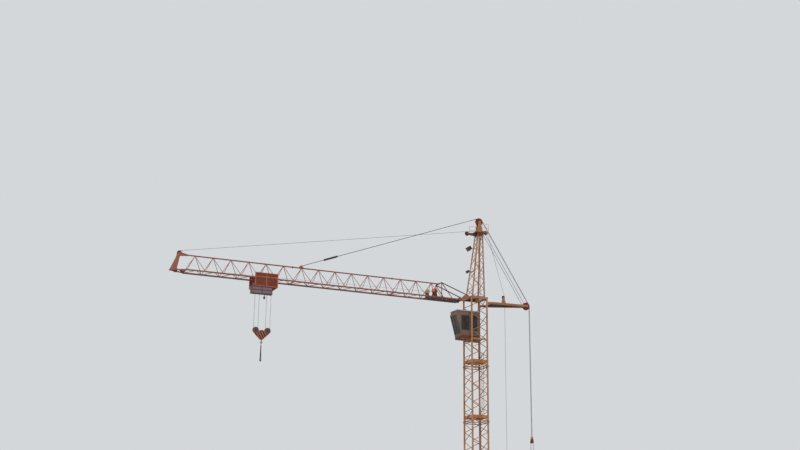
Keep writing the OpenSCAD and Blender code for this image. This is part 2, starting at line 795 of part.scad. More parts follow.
module strut() {
    tip = [-strut_x - 110, strut_end_y, strut_sheave[1]];
    root = [strut_root_x - 330, tower_w/2, strut_root_z];
    eye = 60;
    color("goldenrod") {
        both_sides() {
            flat_bar(tip, root, 120, strut_leg_h);
            translate([0, tower_w/2 + (lug_gap - 2*seat)/2, 0]) rotate([90, 0, 0])
                linear_extrude(lug_gap - 2*seat) union() {
                    translate([strut_root_x, strut_root_z]) circle(r = 90);
                    polygon([[strut_root_x, strut_root_z - 90], [strut_root_x, strut_root_z + 90],
                        [strut_root_x - 420, strut_root_z + 105], [strut_root_x - 420, strut_root_z - 105]]);
                }
            cross_pin(strut_root_x, strut_root_z, hinge_pin_r, lug_gap + 60 + eye, tower_w/2);
        }
        for (x = [tip.x + 560, mid_sheave[0] - 300, mid_sheave[0] + 200, root.x])
            let (k = (x - tip.x)/(root.x - tip.x), p = tip + k*(root - tip))
                bar([p.x, -p.y, p.z], [p.x, p.y, p.z], 45);
        mid_frame();
        strut_walkway(tip, root);
    }
}

// Two narrow plates between the strut's legs, clear of the hoist rope
module strut_walkway(tip, root) {
    a = tip + 0.13*(root - tip);
    both_sides() flat_bar([a.x, 150, a.z - 44], [root.x, root.y - 330, root.z - 44], 160, 12);
}

// Posts on the strut that carry the hoist rope's middle sheave
module mid_frame() {
    x = mid_sheave[0];
    z = mid_sheave[1];
    foot = strut_sheave[1] - 160;
    for (s = [-1, 1]) translate([0, s*55 + 10, 0]) rotate([90, 0, 0]) linear_extrude(20)
        polygon([[x - 340, foot], [x + 240, foot], [x + 50, z + 50], [x - 50, z + 50]]);
}

module luffing_ropes() {
    a = on_pendant(cage_start + cage_l + 35 + seat);
    x = -strut_x - sheave_r;
    down = [x, floor_z + tackle_z, 0];
    color("dimgray") {
        for (s = [-1, 1]) rope(rope_route([[a[0], a[1], 0], head_sheave, strut_sheave, down]), s*luff_y);
        both_sides() bar([rear_sheave[0] + 250, cheek_y + 30 + rope_r, head_top_z + 110],
            [-strut_x + 300, strut_end_y + 40, strut_sheave[1] + strut_leg_h/2 + rope_r], rope_r, 8);
        for (s = [-1, 1], sy = [-1, 1])
            bar([x + s*150, sy*70, floor_z + 150], [x + s*150, sy*70, floor_z + tackle_z - 420], rope_r - 3);
        rope(rope_route([[x, floor_z + 300 + rope_r, 0], [luff_drum_x, luff_drum_z, -luff_drum_r],
            [luff_drum_x + luff_drum_r, luff_drum_z - 100, 0]]), 0);
    }
}

// Two blocks of the luffing tackle: one that rides on the falls, one on the deck
module tackle_block() {
    x = -strut_x - sheave_r;
    r = 150 - rope_r + 3;
    color("firebrick") for (z = [floor_z + tackle_z - 420, floor_z + 150]) {
        for (sy = [-1, 1]) cross_pin(x, z, r - seat, 50, sy*70);
        cross_pin(x, z, 45, 2*190 - 30 - 2*seat);
    }
    color("firebrick") for (s = [-1, 1]) {
        z = floor_z + tackle_z - 420;
        translate([x, s*(130 + 8) + 8, z]) rotate([90, 0, 0]) linear_extrude(16)
            polygon([[-90, 90], [-90, -190], [90, -190], [90, 90], [30, 430], [-30, 430]]);
    }
    color("firebrick") block([x - 40, -146, floor_z + tackle_z - 40], [x + 40, 146, floor_z + tackle_z - seat]);
}

module hoist_rope() {
    color("dimgray") rope(rope_route(hoist_stops));
}

/* Cab */

cab_floor_t = 60;
wall_z = cab_z + cab_floor_t + seat;
cab_roof_t = 50;
module cab_profile(inset = 0) {
    x = tower_front + cab_nose - 2.3*inset;
    polygon([[cab_back + inset, 0], [x - cab_lean, 0], [x, 0.83*cab_h], [x - 130, cab_h],
        [cab_back + inset, cab_h]]);
}

module cab_floor() {
    color("saddlebrown") block([cab_back - 40, -cab_w/2 - 20, cab_z],
        [tower_front + cab_nose - cab_lean + 20, cab_w/2 + 20, cab_z + cab_floor_t]);
}

window_z1 = 700;
window_z2 = 0.8*cab_h;

module cab_windows(grow = 0) {
    zs = [window_z1 - grow, window_z2 + grow];
    nose = tower_front + cab_nose;
    for (span = [[cab_back + 250 - grow, cab_back + 900 + grow], [tower_front + 250 - grow, nose - cab_lean - 30 + grow]])
        block([span[0], -cab_w, zs[0]], [span[1], cab_w, zs[1]]);
    block([nose - 700, -cab_w/2 + 130 - grow, zs[0] - 350], [nose + 300, cab_w/2 - 130 + grow, zs[1]]);
}

module cab_shell() {
    inner = cab_w/2 - cab_t;
    color("whitesmoke") translate([0, 0, wall_z]) difference() {
        translate([0, cab_w/2, 0]) rotate([90, 0, 0]) linear_extrude(cab_w) cab_profile();
        translate([0, inner, 0]) rotate([90, 0, 0]) linear_extrude(2*inner)
            translate([0, -1]) scale([1, 1]) union() {
                cab_profile(cab_t);
                translate([0, 2]) cab_profile(cab_t);
            }
        cab_windows();
        block([cab_back - 10, -330, 60], [cab_back + cab_t + 10, 330, 1960]);
    }
    color("whitesmoke") translate([0, 0, wall_z + cab_h - cab_t])
        block([cab_back - 30, -cab_w/2 - 40, 0], [tower_front + cab_nose - 80, cab_w/2 + 40, 2*cab_t]);
}

module cab_glazing() {
    gap = 2;
    glass = 8;
    mid = cab_t/2;
    color("slategray") translate([0, 0, wall_z]) intersection() {
        cab_windows(-seat);
        difference() {
            translate([0, cab_w/2 - mid + glass, 0]) rotate([90, 0, 0])
                linear_extrude(cab_w - 2*mid + 2*glass) cab_profile(mid - glass);
            translate([0, cab_w/2 - mid, 0]) rotate([90, 0, 0])
                linear_extrude(cab_w - 2*mid) cab_profile(mid);
        }
    }
}

/* Jib */

joint_t = 20;

module jib_lattice(x1, x2, n) {
    e = 60;
    y = jib_w/2;
    c = jib_chord/2;
    both_sides() {
        block([x1, y - c, jib_z - c], [x2, y + c, jib_z + c]);
        block([x1, y + c - 2, jib_z - c], [x2, y + c + flange_w, jib_z - c + flange_t]);
        for (x = [x1, x2 - joint_t]) block([x, y - c - 50, jib_z - c], [x + joint_t, y + c, jib_z + c + 50]);
        zigzag([x1 + e, y, jib_z], [x1 + e, 0, top_z], [x2 - e, y, jib_z], [x2 - e, 0, top_z], n, jib_lacing_r);
    }
    for (x = [x1 + e, x2 - e]) bar([x, -y, jib_z], [x, y, jib_z], jib_lacing_r + 6);
    zigzag([x1 + e, -y, jib_z], [x1 + e, y, jib_z], [x2 - e, -y, jib_z], [x2 - e, y, jib_z], n,
        jib_lacing_r);
    bar([x1, 0, top_z], [x2, 0, top_z], top_chord_r, 16);
    for (x = [x1, x2 - joint_t]) bar([x, 0, top_z], [x + joint_t, 0, top_z], top_chord_r + 45, 16);
}

// Two plates between a pair of cross bars that hold a guide sheave of the trolley rope
module guide_bracket(g, reach) {
    for (s = [-1, 1]) translate([0, trolley_rope_y + s*55 + 10, 0]) rotate([90, 0, 0])
        linear_extrude(20) polygon([[g[0] - 230, jib_z + 26], [g[0] + 230, jib_z + 26],
            [g[0] + 230, jib_z - 26], [g[0] + 50, g[1] - 55], [g[0] - 50, g[1] - 55], [g[0] - 230, jib_z - 26]]);
    for (k = [0, 1]) let (x = g[0] + (2*k - 1)*210)
        bar([x, -reach[k], jib_z], [x, reach[k], jib_z], jib_lacing_r + 4);
}

module jib_root() {
    y = jib_w/2;
    c = jib_chord/2;
    frame_y = 640;
    plate = lug_gap - 2*seat;
    color("coral") {
        jib_lattice(top_start, root_end, root_panels);
        both_sides() {
            block([chord_start, y - c, jib_z - c], [top_start, y + c, jib_z + c]);
            block([chord_start, y + c - 2, jib_z - c], [top_start, y + c + flange_w, jib_z - c + flange_t]);
            bar([top_start + 60, frame_y, top_z], [hinge_x + 60, y, hinge_z + 142], 50);
            bar([top_start + 60, frame_y, top_z], [top_start + 60, y, jib_z], 40);
            bar([top_start + 60, frame_y, top_z], [top_start - 1100, y, jib_z], 36);
            translate([0, y + plate/2, 0]) rotate([90, 0, 0]) linear_extrude(plate) union() {
                translate([hinge_x, hinge_z]) circle(r = 90);
                polygon([[hinge_x, hinge_z - 90], [hinge_x - 20, hinge_z + 88], [hinge_x + 50, hinge_z + 150],
                    [hinge_x + 200, hinge_z + 200], [hinge_x + 500, hinge_z + 150],
                    [chord_start + 300, jib_z], [chord_start + 100, jib_z - c], [chord_start, jib_z - c]]);
            }
            cross_pin(hinge_x, hinge_z, hinge_pin_r, lug_gap + 120, y);
        }
        bar([top_start + 60, -frame_y - 20, top_z], [top_start + 60, frame_y + 20, top_z], 55);
        guide_bracket(root_guide, [y, y]);
        for (x = [chord_start + 150, top_start - 1100]) bar([x, -y, jib_z], [x, y, jib_z], jib_lacing_r + 10);
    }
}

module jib_middle() {
    color("coral") {
        jib_lattice(root_end, middle_end, middle_panels);
        for (s = [-1, 1]) translate([0, s*(luff_y + 40) + 10, 0]) rotate([90, 0, 0]) linear_extrude(20)
            difference() {
                polygon([[lug_x - 260, top_z], [lug_x + 260, top_z], [lug_x + 60, lug_z + 60],
                    [lug_x - 60, lug_z + 60]]);
                translate([lug_x, lug_z]) circle(r = 30);
            }
        bar([lug_x, -luff_y - 50, top_z], [lug_x, luff_y + 50, top_z], top_chord_r - 5);
    }
}

tip_start = jib_end_x - 60;
tip_length = 1430;
function tip_half(x) = jib_w/2 - (jib_w/2 - 110)*(x - tip_start)/tip_length;

module jib_end() {
    y = jib_w/2;
    color("coral") {
        jib_lattice(middle_end, jib_end_x, end_panels);
        tip_plates();
        guide_bracket(tip_guide, [for (k = [-210, 210]) tip_half(tip_guide[0] + k)]);
        both_sides() {
            bar([tip_start, y, jib_z], [tip_start + tip_length, 110, jib_z], 50);
            block([jib_end_x - 40, y + jib_chord/2 - 2, jib_z - jib_chord/2],
                [jib_end_x, y + jib_chord/2 + flange_w, jib_z + 60]);
        }
    }
}

tip_y = 45;

// Two plates at the jib's tip that hold the hoist rope's two sheaves
module tip_plates() {
    a = tip_sheave;
    b = low_sheave;
    for (s = [-1, 1]) translate([0, s*(tip_y + 10) + 10, 0]) rotate([90, 0, 0]) linear_extrude(20)
        polygon([[jib_end_x - 300, top_z + 40], [a[0] - 100, a[1] + 90], [a[0] + 90, a[1] + 60],
            [b[0] + 500, jib_z + 60], [b[0] + 520, jib_z - 60], [b[0] + 80, b[1] - 60], [b[0] - 80, b[1] - 60],
            [b[0] - 120, b[1] + 60], [a[0] - 60, a[1] - 260], [jib_end_x - 300, top_z - 60]]);
}

module trolley_winch() {
    x = winch_drum[0];
    z = winch_drum[1];
    base = jib_z + jib_chord/2;
    color("orange") {
        cross_pin(x, z, winch_drum[2] - rope_r + 5, 400);
        for (s = [-1, 1]) cross_pin(x, z, winch_drum[2] + 50, 20, s*190);
        cross_pin(x, z, 35, 500);
        for (e = [-1, 1]) block([x + e*180 - 35, -jib_w/2, base], [x + e*180 + 35, jib_w/2, base + 70]);
        for (s = [-1, 1]) translate([0, s*235 + 10, 0]) rotate([90, 0, 0]) linear_extrude(20)
            polygon([[x - 215, base + 60], [x + 215, base + 60], [x + 60, z + 60], [x - 60, z + 60]]);
        block([x + 120, -215, base + 60], [x + 215, 215, base + 180]);
    }
}

module trolley_rope() {
    start = [winch_drum[0] - winch_drum[2], winch_drum[1], 0];
    finish = [winch_drum[0], winch_drum[1] - winch_drum[2], 0];
    color("dimgray") rope(rope_route([start, root_guide, tip_guide, finish]), trolley_rope_y, rope_r - 5);
}

module pendants() {
    a = on_pendant(0);
    b = on_pendant(cage_start);
    c = on_pendant(cage_start + cage_l);
    color("dimgray") {
        for (s = [-1, 1]) {
            bar([a[0], s*luff_y, a[1]], [b[0], s*luff_y, b[1]], rope_r + 6);
            flat_bar([b[0], s*(luff_y + 35), b[1]], [c[0], s*(luff_y + 35), c[1]], 20, 160);
        }
        cross_pin(a[0], a[1], 30 - seat, 2*luff_y + 140);
        for (d = [cage_start, cage_start + cage_l/2, cage_start + cage_l]) let (q = on_pendant(d))
            cross_pin(q[0], q[1], 35, 2*luff_y + 100);
    }
}

/* Trolley */

module trolley_frame() {
    half = trolley_l/2;
    top = jib_z + 450;
    low = jib_z - 850;
    color("orangered") translate([trolley_x, 0, 0]) {
        both_sides() {
            for (z = [top - 100, low]) block([-half, side_y, z], [half, side_y + 60, z + 100]);
            block([-half, side_y, wheel_z - 70], [half, side_y + 60, wheel_z + 70]);
            for (x = [-half, -50, half - 100]) block([x, side_y, low], [x + 100, side_y + 60, top]);
            block([-half + 90, side_y + 24, low + 90], [half - 90, side_y + 36, top - 90]);
        }
        for (x = [-half, half - 100]) block([x, -side_y, low], [x + 100, side_y, low + 100]);
        for (s = [-1, 1]) block([-half, s*55 - 10, trolley_sheave_z - 330], [half, s*55 + 10, trolley_sheave_z + 60]);
        for (x = [-half, half - 100]) block([x, -side_y, trolley_sheave_z - 330], [x + 100, side_y, trolley_sheave_z - 250]);
    }
}

module trolley_wheels() {
    color("dimgray") translate([trolley_x, 0, 0]) for (sx = [-1, 1], sy = [-1, 1])
        cross_pin(sx*trolley_wheel_x, wheel_z, trolley_wheel_r, 50, sy*wheel_y);
}

module trolley_sheaves() {
    color("firebrick") {
        for (s = [-1, 1]) sheave(trolley_x + s*(outer_fall + small_r), trolley_sheave_z, small_r, 0, 60, 40,
            90 - 2*seat);
        sheave(trolley_x, rope_line_z - inner_fall, inner_fall, 0, 60, 40, 90 - 2*seat);
    }
}

module service_basket() {
    z = jib_z - 1550 - seat;
    y1 = 500;
    y2 = side_y + 60;
    color("lavender") {
        translate([trolley_x + 400, 0, 0]) difference() {
            block([-1000, y1, z], [1000, y2, z + 700]);
            block([-970, y1 + 30, z + 30], [970, y2 - 30, z + 701]);
        }
        translate([trolley_x + 100, (y1 + y2)/2, z]) {
            translate([0, 0, -190]) cylinder(h = 200, r = 30);
            translate([0, 0, -430]) cylinder(h = 250, r = 85);
        }
    }
}

module hoist_falls() {
    top = rope_line_z - inner_fall;
    color("dimgray") for (x = [outer_fall, inner_fall], s = [-1, 1])
        bar([trolley_x + s*x, 0, hook_z], [trolley_x + s*x, 0, top], rope_r);
}

/* Hook block */

lobe_r = 290;
shank_r = 35;
heart_drop = 780;

module hook_block() {
    lobe = [block_sheave_x, 0, -lobe_r];
    foot = [90, -heart_drop, -70];
    t = heading(lobe, foot);
    color("orangered") translate([trolley_x, 0, hook_z]) {
        for (s = [-1, 1]) translate([0, s*55 + 10, 0]) rotate([90, 0, 0]) linear_extrude(20) {
            for (m = [-1, 1]) {
                translate([m*block_sheave_x, 0]) circle(r = lobe_r);
                translate([m*90, -heart_drop]) circle(r = 70);
            }
            polygon([touch(lobe, t), touch(foot, t), [0, -heart_drop - 70],
                [-touch(foot, t)[0], touch(foot, t)[1]], [-touch(lobe, t)[0], touch(lobe, t)[1]], [0, 60]]);
        }
        difference() {
            block([-150, -45, -heart_drop - 70], [150, 45, -heart_drop + 110]);
            translate([0, 0, -heart_drop - 100]) cylinder(h = 300, r = shank_r + 0.05);
        }
    }
}

module hook_sheaves() {
    color("firebrick") for (s = [-1, 1])
        sheave(trolley_x + s*block_sheave_x, hook_z, small_r, 0, 60, 45, 90 - 2*seat);
}

hook_top = hook_z - heart_drop + 115;
bowl_r = 80;
bowl_z = hook_z - heart_drop - 300;

module hook() {
    color("dimgray") translate([trolley_x, 0, 0]) {
        translate([0, 0, bowl_z + bowl_r]) cylinder(h = hook_top - bowl_z - bowl_r, r = shank_r);
        translate([0, 0, hook_top]) cylinder(h = 50, r = shank_r + 8);
        translate([0, 0, bowl_z]) rotate([90, 0, 0]) rotate(90) rotate_extrude(angle = 285, $fn = 48)
            translate([bowl_r, 0]) circle(r = 34, $fn = 24);
    }
}

link_r = 95;

module sling() {
    link_z = bowl_z - bowl_r + 34 + 12 + seat;
    top = link_z - link_r;
    color("dimgray") translate([trolley_x, 0, 0]) {
        translate([0, 0, link_z - link_r]) rotate([0, 90, 0]) rotate_extrude($fn = 48)
            translate([link_r, 0]) circle(r = 12, $fn = 24);
        for (a = [45:90:315])
            bar([10*cos(a), 20*sin(a), top - link_r], [70*cos(a), 70*sin(a), top - 1650], 12, 8);
    }
}

ring_frame();
outrigger_legs();
bogie_frames();
travel_wheels();
lower_race();
turntable();
counterweights();
winch_drums();
winch_frames();
slewing_drive();
electric_cabinet();
deck_railing();
portal();
lower_section();
middle_section();
cab_section();
tower_head();
luffing_sheaves();
hoist_sheaves();
head_platform();
landings();
ladders();
floodlights();
strut();
luffing_ropes();
tackle_block();
hoist_rope();
cab_floor();
cab_shell();
cab_glazing();
jib_root();
jib_middle();
jib_end();
trolley_winch();
trolley_rope();
pendants();
trolley_frame();
trolley_wheels();
trolley_sheaves();
service_basket();
hoist_falls();
hook_block();
hook_sheaves();
hook();
sling();
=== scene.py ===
from math import acos, asin, atan2, ceil, cos, hypot, pi, radians, sin

import bpy
from mathutils import Matrix, Vector


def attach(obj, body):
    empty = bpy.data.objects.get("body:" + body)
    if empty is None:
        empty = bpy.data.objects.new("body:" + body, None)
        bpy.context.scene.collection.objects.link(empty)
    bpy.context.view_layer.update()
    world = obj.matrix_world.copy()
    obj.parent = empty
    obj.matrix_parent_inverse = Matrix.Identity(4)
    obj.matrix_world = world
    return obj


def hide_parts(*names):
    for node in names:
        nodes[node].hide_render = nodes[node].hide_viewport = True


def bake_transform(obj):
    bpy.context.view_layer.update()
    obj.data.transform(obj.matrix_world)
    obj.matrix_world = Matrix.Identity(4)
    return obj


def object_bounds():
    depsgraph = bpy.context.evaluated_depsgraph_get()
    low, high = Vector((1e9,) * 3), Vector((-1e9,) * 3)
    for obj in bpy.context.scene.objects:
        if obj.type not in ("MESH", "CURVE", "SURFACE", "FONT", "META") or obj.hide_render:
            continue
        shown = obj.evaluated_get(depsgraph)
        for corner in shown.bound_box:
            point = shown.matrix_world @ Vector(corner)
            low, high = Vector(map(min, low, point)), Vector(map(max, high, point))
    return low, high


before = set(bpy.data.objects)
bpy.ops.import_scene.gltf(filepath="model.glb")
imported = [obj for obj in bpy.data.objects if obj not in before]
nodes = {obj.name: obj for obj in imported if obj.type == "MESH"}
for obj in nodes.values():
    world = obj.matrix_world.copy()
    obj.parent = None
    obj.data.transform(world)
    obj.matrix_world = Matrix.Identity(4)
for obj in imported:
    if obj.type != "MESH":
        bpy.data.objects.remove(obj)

cad_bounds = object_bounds()

# ---- Levels and places of the crane, in metres, as in the part's source ----
RAIL_TOP, WHEEL_AT, WHEEL_GAP = -0.72, 3, 0.38
RACE_R, FLOOR_Z = 1.25, 1.1123
TOWER_X, TOWER_HALF = 1.4, 0.85
SECTION_FEET = (8.5203, 13.9203, 19.3203, 26.1903)
LANDINGS = (9.0203, 14.4203, 19.8203)
HEAD_X, HEAD_TOP, HEAD_H, HEAD_FOOT_HALF, HEAD_TOP_HALF = 0.9, 32.9903, 6.8, 0.675, 0.26
JIB_Z, JIB_TOP_Z, JIB_HALF, CHORD_HALF = 25.7403, 27.2403, 0.7, 0.06
JIB_JOINTS = (5.4, 10.5, 20.7, 30.9)
HINGE_X, HINGE_Z, CHORD_START = 2.48, JIB_Z + 0.33, 3.18
TIP_START, TIP_LENGTH, NOSE_HALF = JIB_JOINTS[3] - 0.06, 1.43, 0.11
ROPE_R, LUFF_R, LUFF_Y = 0.013, 0.019, 0.06
SMALL_R, LARGE_R, GUIDE_R, GUIDE_Y = 0.21, 0.37, 0.15, 0.15
ROPE_LINE_Z = JIB_Z - 0.17
BAY = 1.7
BARS_END, LINKS_MIDDLE, LINKS_END = 2.5, 3.15, 3.8
TROLLEY_X, OUTER_FALL, INNER_FALL = 23.45, 0.775, 0.355
ROLLER_R, FLANGE_THICK, FIT_GAP = 0.095, 0.016, 0.0003
HOOK_Z = 20.9903
TROLLEY, HOOK = (TROLLEY_X, 0, JIB_Z), (TROLLEY_X, 0, HOOK_Z)
SIDES = (-1, 1)
CORNERS = [(1, 1), (-1, 1), (-1, -1), (1, -1)]
FACE_DOWN = Matrix.Rotation(pi, 4, "X")
FACE_Y, FACE_BACK_Y = Matrix.Rotation(-pi / 2, 4, "X"), Matrix.Rotation(pi / 2, 4, "X")
FACE_X = Matrix.Rotation(pi / 2, 4, "Y")


# ---- Working in Blender as by hand ----
def take(*pieces):
    """Object mode with only these pieces selected, the first one active."""
    if bpy.context.object and bpy.context.object.mode != "OBJECT":
        bpy.ops.object.mode_set(mode="OBJECT")
    bpy.ops.object.select_all(action="DESELECT")
    for piece in pieces:
        piece.select_set(True)
        bpy.context.view_layer.objects.active = pieces[0]


def added(name, data):
    """A new object in the scene, selected."""
    item = bpy.data.objects.new(name, data)
    bpy.context.scene.collection.objects.link(item)
    take(item)
    return item


def edited(*steps):
    """Edit mode with everything selected, and each step in turn."""
    bpy.ops.object.mode_set(mode="EDIT")
    bpy.ops.mesh.select_all(action="SELECT")
    for step in steps:
        step()
    bpy.ops.object.mode_set(mode="OBJECT")


def settle(name="part"):
    """Names the active piece and puts its place into its mesh."""
    piece = bpy.context.object
    bpy.ops.object.transform_apply(location=True, rotation=True, scale=True)
    piece.name = piece.data.name = name
    return piece


def smooth(piece, angle):
    take(piece)
    bpy.ops.object.shade_smooth_by_angle(angle=radians(angle))
    return piece


def rounded(piece, width, segments=1, angle=35):
    """Bevels the edges that are sharper than an angle."""
    take(piece)
    bevel = piece.modifiers.new("bevel", "BEVEL")
    bevel.width, bevel.segments, bevel.limit_method = width, segments, "ANGLE"
    bevel.angle_limit, bevel.use_clamp_overlap = radians(angle), True
    bpy.ops.object.modifier_apply(modifier=bevel.name)
    return smooth(piece, 40)


def outwards(piece, merge=0.0001):
    """Merges doubles and turns every face outwards."""
    take(piece)
    edited(lambda: bpy.ops.mesh.remove_doubles(threshold=merge),
           lambda: bpy.ops.mesh.normals_make_consistent(inside=False))
    return piece


def joined(pieces, name="part"):
    """Several pieces as one."""
    take(*pieces)
    if len(pieces) > 1:
        bpy.ops.object.join()
    return settle(name)


def copies(pattern, moves):
    """The pattern itself is used up; each move gives a copy with its own mesh."""
    made = []
    for move in moves:
        made.append(added("part", pattern.data.copy()))
        made[-1].data.transform(move)
    bpy.data.objects.remove(pattern)
    return joined(made)


def shifts(places):
    return [Matrix.Translation(place) for place in places]


def reworked(node, edge, segments=1):
    """A copy of a CAD node, merged, with rounded edges."""
    piece = nodes[node].copy()
    piece.data = piece.data.copy()
    piece.parent, piece.matrix_world = None, Matrix.Identity(4)
    bpy.context.scene.collection.objects.link(piece)
    take(piece)
    edited(lambda: bpy.ops.mesh.remove_doubles(threshold=0.0002),
           lambda: bpy.ops.mesh.dissolve_limited(angle_limit=radians(2)))
    return rounded(settle(), edge, segments)


# ---- Simple parts that the pieces are put together from ----
def arc(x, y, radius, degrees):
    """Points at some angles round a circle."""
    return [(x + radius * cos(radians(d)), y + radius * sin(radians(d))) for d in degrees]


def block(low, high, edge=0.004):
    """A bevelled bar or box between two opposite corners."""
    take()
    low, high = (Vector(map(pick, low, high)) for pick in (min, max))
    bpy.ops.mesh.primitive_cube_add(size=1, location=(low + high) / 2, scale=high - low)
    return rounded(settle(), edge)


def both(low, high, edge=0.004):
    """The same box on both sides of the crane's middle plane."""
    return [block((low[0], s * low[1], low[2]), (high[0], s * high[1], high[2]), edge) for s in SIDES]


def upright(x, y, low, high, half, edge, deep=None):
    """A block from level low to level high round an upright line."""
    deep = deep or half
    return block((x - half, y - deep, low), (x + half, y + deep, high), edge)


def placed(piece, *moves):
    """The piece with its mesh moved: by the last move first."""
    for move in reversed(moves):
        piece.data.transform(move)
    return piece


def flat(start, end, wide, deep, edge):
    """A flat bar between two points: wide across the crane, deep in its own plane."""
    start, end = Vector(start), Vector(end)
    along = (end - start).normalized()
    piece = block((-deep / 2, -wide / 2, 0), (deep / 2, wide / 2, (end - start).length), edge)
    return placed(piece, Matrix.Translation(start), Matrix.Rotation(atan2(along.y, along.x), 4, "Z"),
                  Matrix.Rotation(acos(along.z), 4, "Y"))


def plate(outline, middle, thick, edge=0.004, axis="y"):
    """A plate cut to an outline and extruded along the y or z axis, round its middle."""
    take()
    bpy.ops.mesh.primitive_circle_add(vertices=len(outline), fill_type="NGON")
    near = middle - thick / 2
    for vertex, (a, b) in zip(bpy.context.object.data.vertices, outline):
        vertex.co = (a, near, b) if axis == "y" else (a, b, near)
    push = (0, thick, 0) if axis == "y" else (0, 0, thick)
    edited(lambda: bpy.ops.mesh.extrude_region_move(TRANSFORM_OT_translate={"value": push}))
    return rounded(outwards(settle()), edge)


def cheeks(outline, off, thick, edge, middle=0):
    """Two plates at the same distance from a middle plane."""
    return [plate(outline, middle + s * off, thick, edge) for s in SIDES]


def turned(profile, centre=(0, 0, 0), axis="y", steps=40):
    """A ring section [radius, along] turned round an axis through centre."""
    take()
    bpy.ops.mesh.primitive_circle_add(vertices=len(profile), fill_type="NOTHING")
    piece = bpy.context.object
    for vertex, (radius, along) in zip(piece.data.vertices, profile):
        vertex.co = {"x": (along, 0, radius), "y": (radius, along, 0), "z": (radius, 0, along)}[axis]
    line = {"x": (1, 0, 0), "y": (0, 1, 0), "z": (0, 0, 1)}[axis]
    edited(lambda: bpy.ops.mesh.spin(steps=steps, angle=2 * pi, center=(0, 0, 0), axis=line))
    piece.location = centre
    return smooth(outwards(settle()), 40)


def hoop(inner, outer, thick, centre, axis="y", steps=40):
    """A plain ring or short barrel."""
    half = thick / 2
    return turned([(inner, -half), (outer, -half), (outer, half), (inner, half)], centre, axis, steps)


def pin(centre, radius, length, axis="y", steps=24):
    """A round pin or cap with chamfered ends."""
    half, cut, bore = length / 2, min(radius * 0.25, 0.008), 0.004
    return turned([(bore, -half), (radius - cut, -half), (radius, -half + cut), (radius, half - cut),
                   (radius - cut, half), (bore, half)], centre, axis, steps)


def rod(start, end, radius, sides=12):
    """A round bar from start to end."""
    start, end = Vector(start), Vector(end)
    along = end - start
    take()
    bpy.ops.mesh.primitive_cylinder_add(vertices=sides, radius=radius, depth=along.length)
    bpy.context.object.matrix_world = (
        Matrix.Translation((start + end) / 2) @ along.to_track_quat("Z", "Y").to_matrix().to_4x4())
    return rounded(settle(), min(radius * 0.2, 0.004), 1, 60)


def drawn(runs, sides, closed=False):
    """Round bars along runs of (point, radius), as bevelled curves turned into one mesh."""
    curve = bpy.data.curves.new("part", "CURVE")
    curve.dimensions, curve.bevel_depth, curve.bevel_resolution = "3D", 1.0, sides
    curve.use_fill_caps = not closed
    for run in runs:
        spline = curve.splines.new("POLY")
        spline.points.add(len(run) - 1)
        spline.use_cyclic_u = closed
        for point, (place, radius) in zip(spline.points, run):
            point.co, point.radius = (*place, 1), radius
    added("part", curve)
    bpy.ops.object.convert(target="MESH")
    return settle()


def swept(points, radius, sides=2, swell=None, closed=False):
    """A tube along points, thicker or thinner by the swell at each."""
    run = [(place, radius * factor) for place, factor in zip(points, swell or [1] * len(points))]
    return smooth(outwards(drawn([run], sides, closed), 0.00001), 50)


def tubes(bars, sides=3):
    """Round bars (start, end, radius) as one part."""
    return smooth(drawn([[(start, radius), (end, radius)] for start, end, radius in bars], sides), 50)


def zigzag(a1, b1, a2, b2, pitches, radius):
    """Bars to and fro between line a and line b."""
    lines = [(Vector(a1), Vector(a2)), (Vector(b1), Vector(b2))]
    stops = [lines[i % 2][0].lerp(lines[i % 2][1], i / (2 * pitches)) for i in range(2 * pitches + 1)]
    return [(first, second, radius) for first, second in zip(stops, stops[1:])]


def bolts(places, size, turn=None):
    """Hexagon bolts with washers at places, all turned by the same matrix."""
    washer = pin((0, 0, 0.002), size * 1.25, 0.004, "z", 16)
    nut = turned([(0.001, 0.004), (size, 0.004), (size, 0.016), (size * 0.8, 0.019), (0.001, 0.019)],
                 axis="z", steps=6)
    turn = turn or Matrix.Identity(4)
    return copies(joined([washer, nut]), [Matrix.Translation(place) @ turn for place in places])


# ---- Finishes ----
def tone(red, green, blue):
    """A colour given as it is seen, 0 to 255, turned to Blender's linear values."""
    def linear(value):
        value /= 255
        return value / 12.92 if value <= 0.04045 else ((value + 0.055) / 1.055) ** 2.4
    return (linear(red), linear(green), linear(blue), 1)


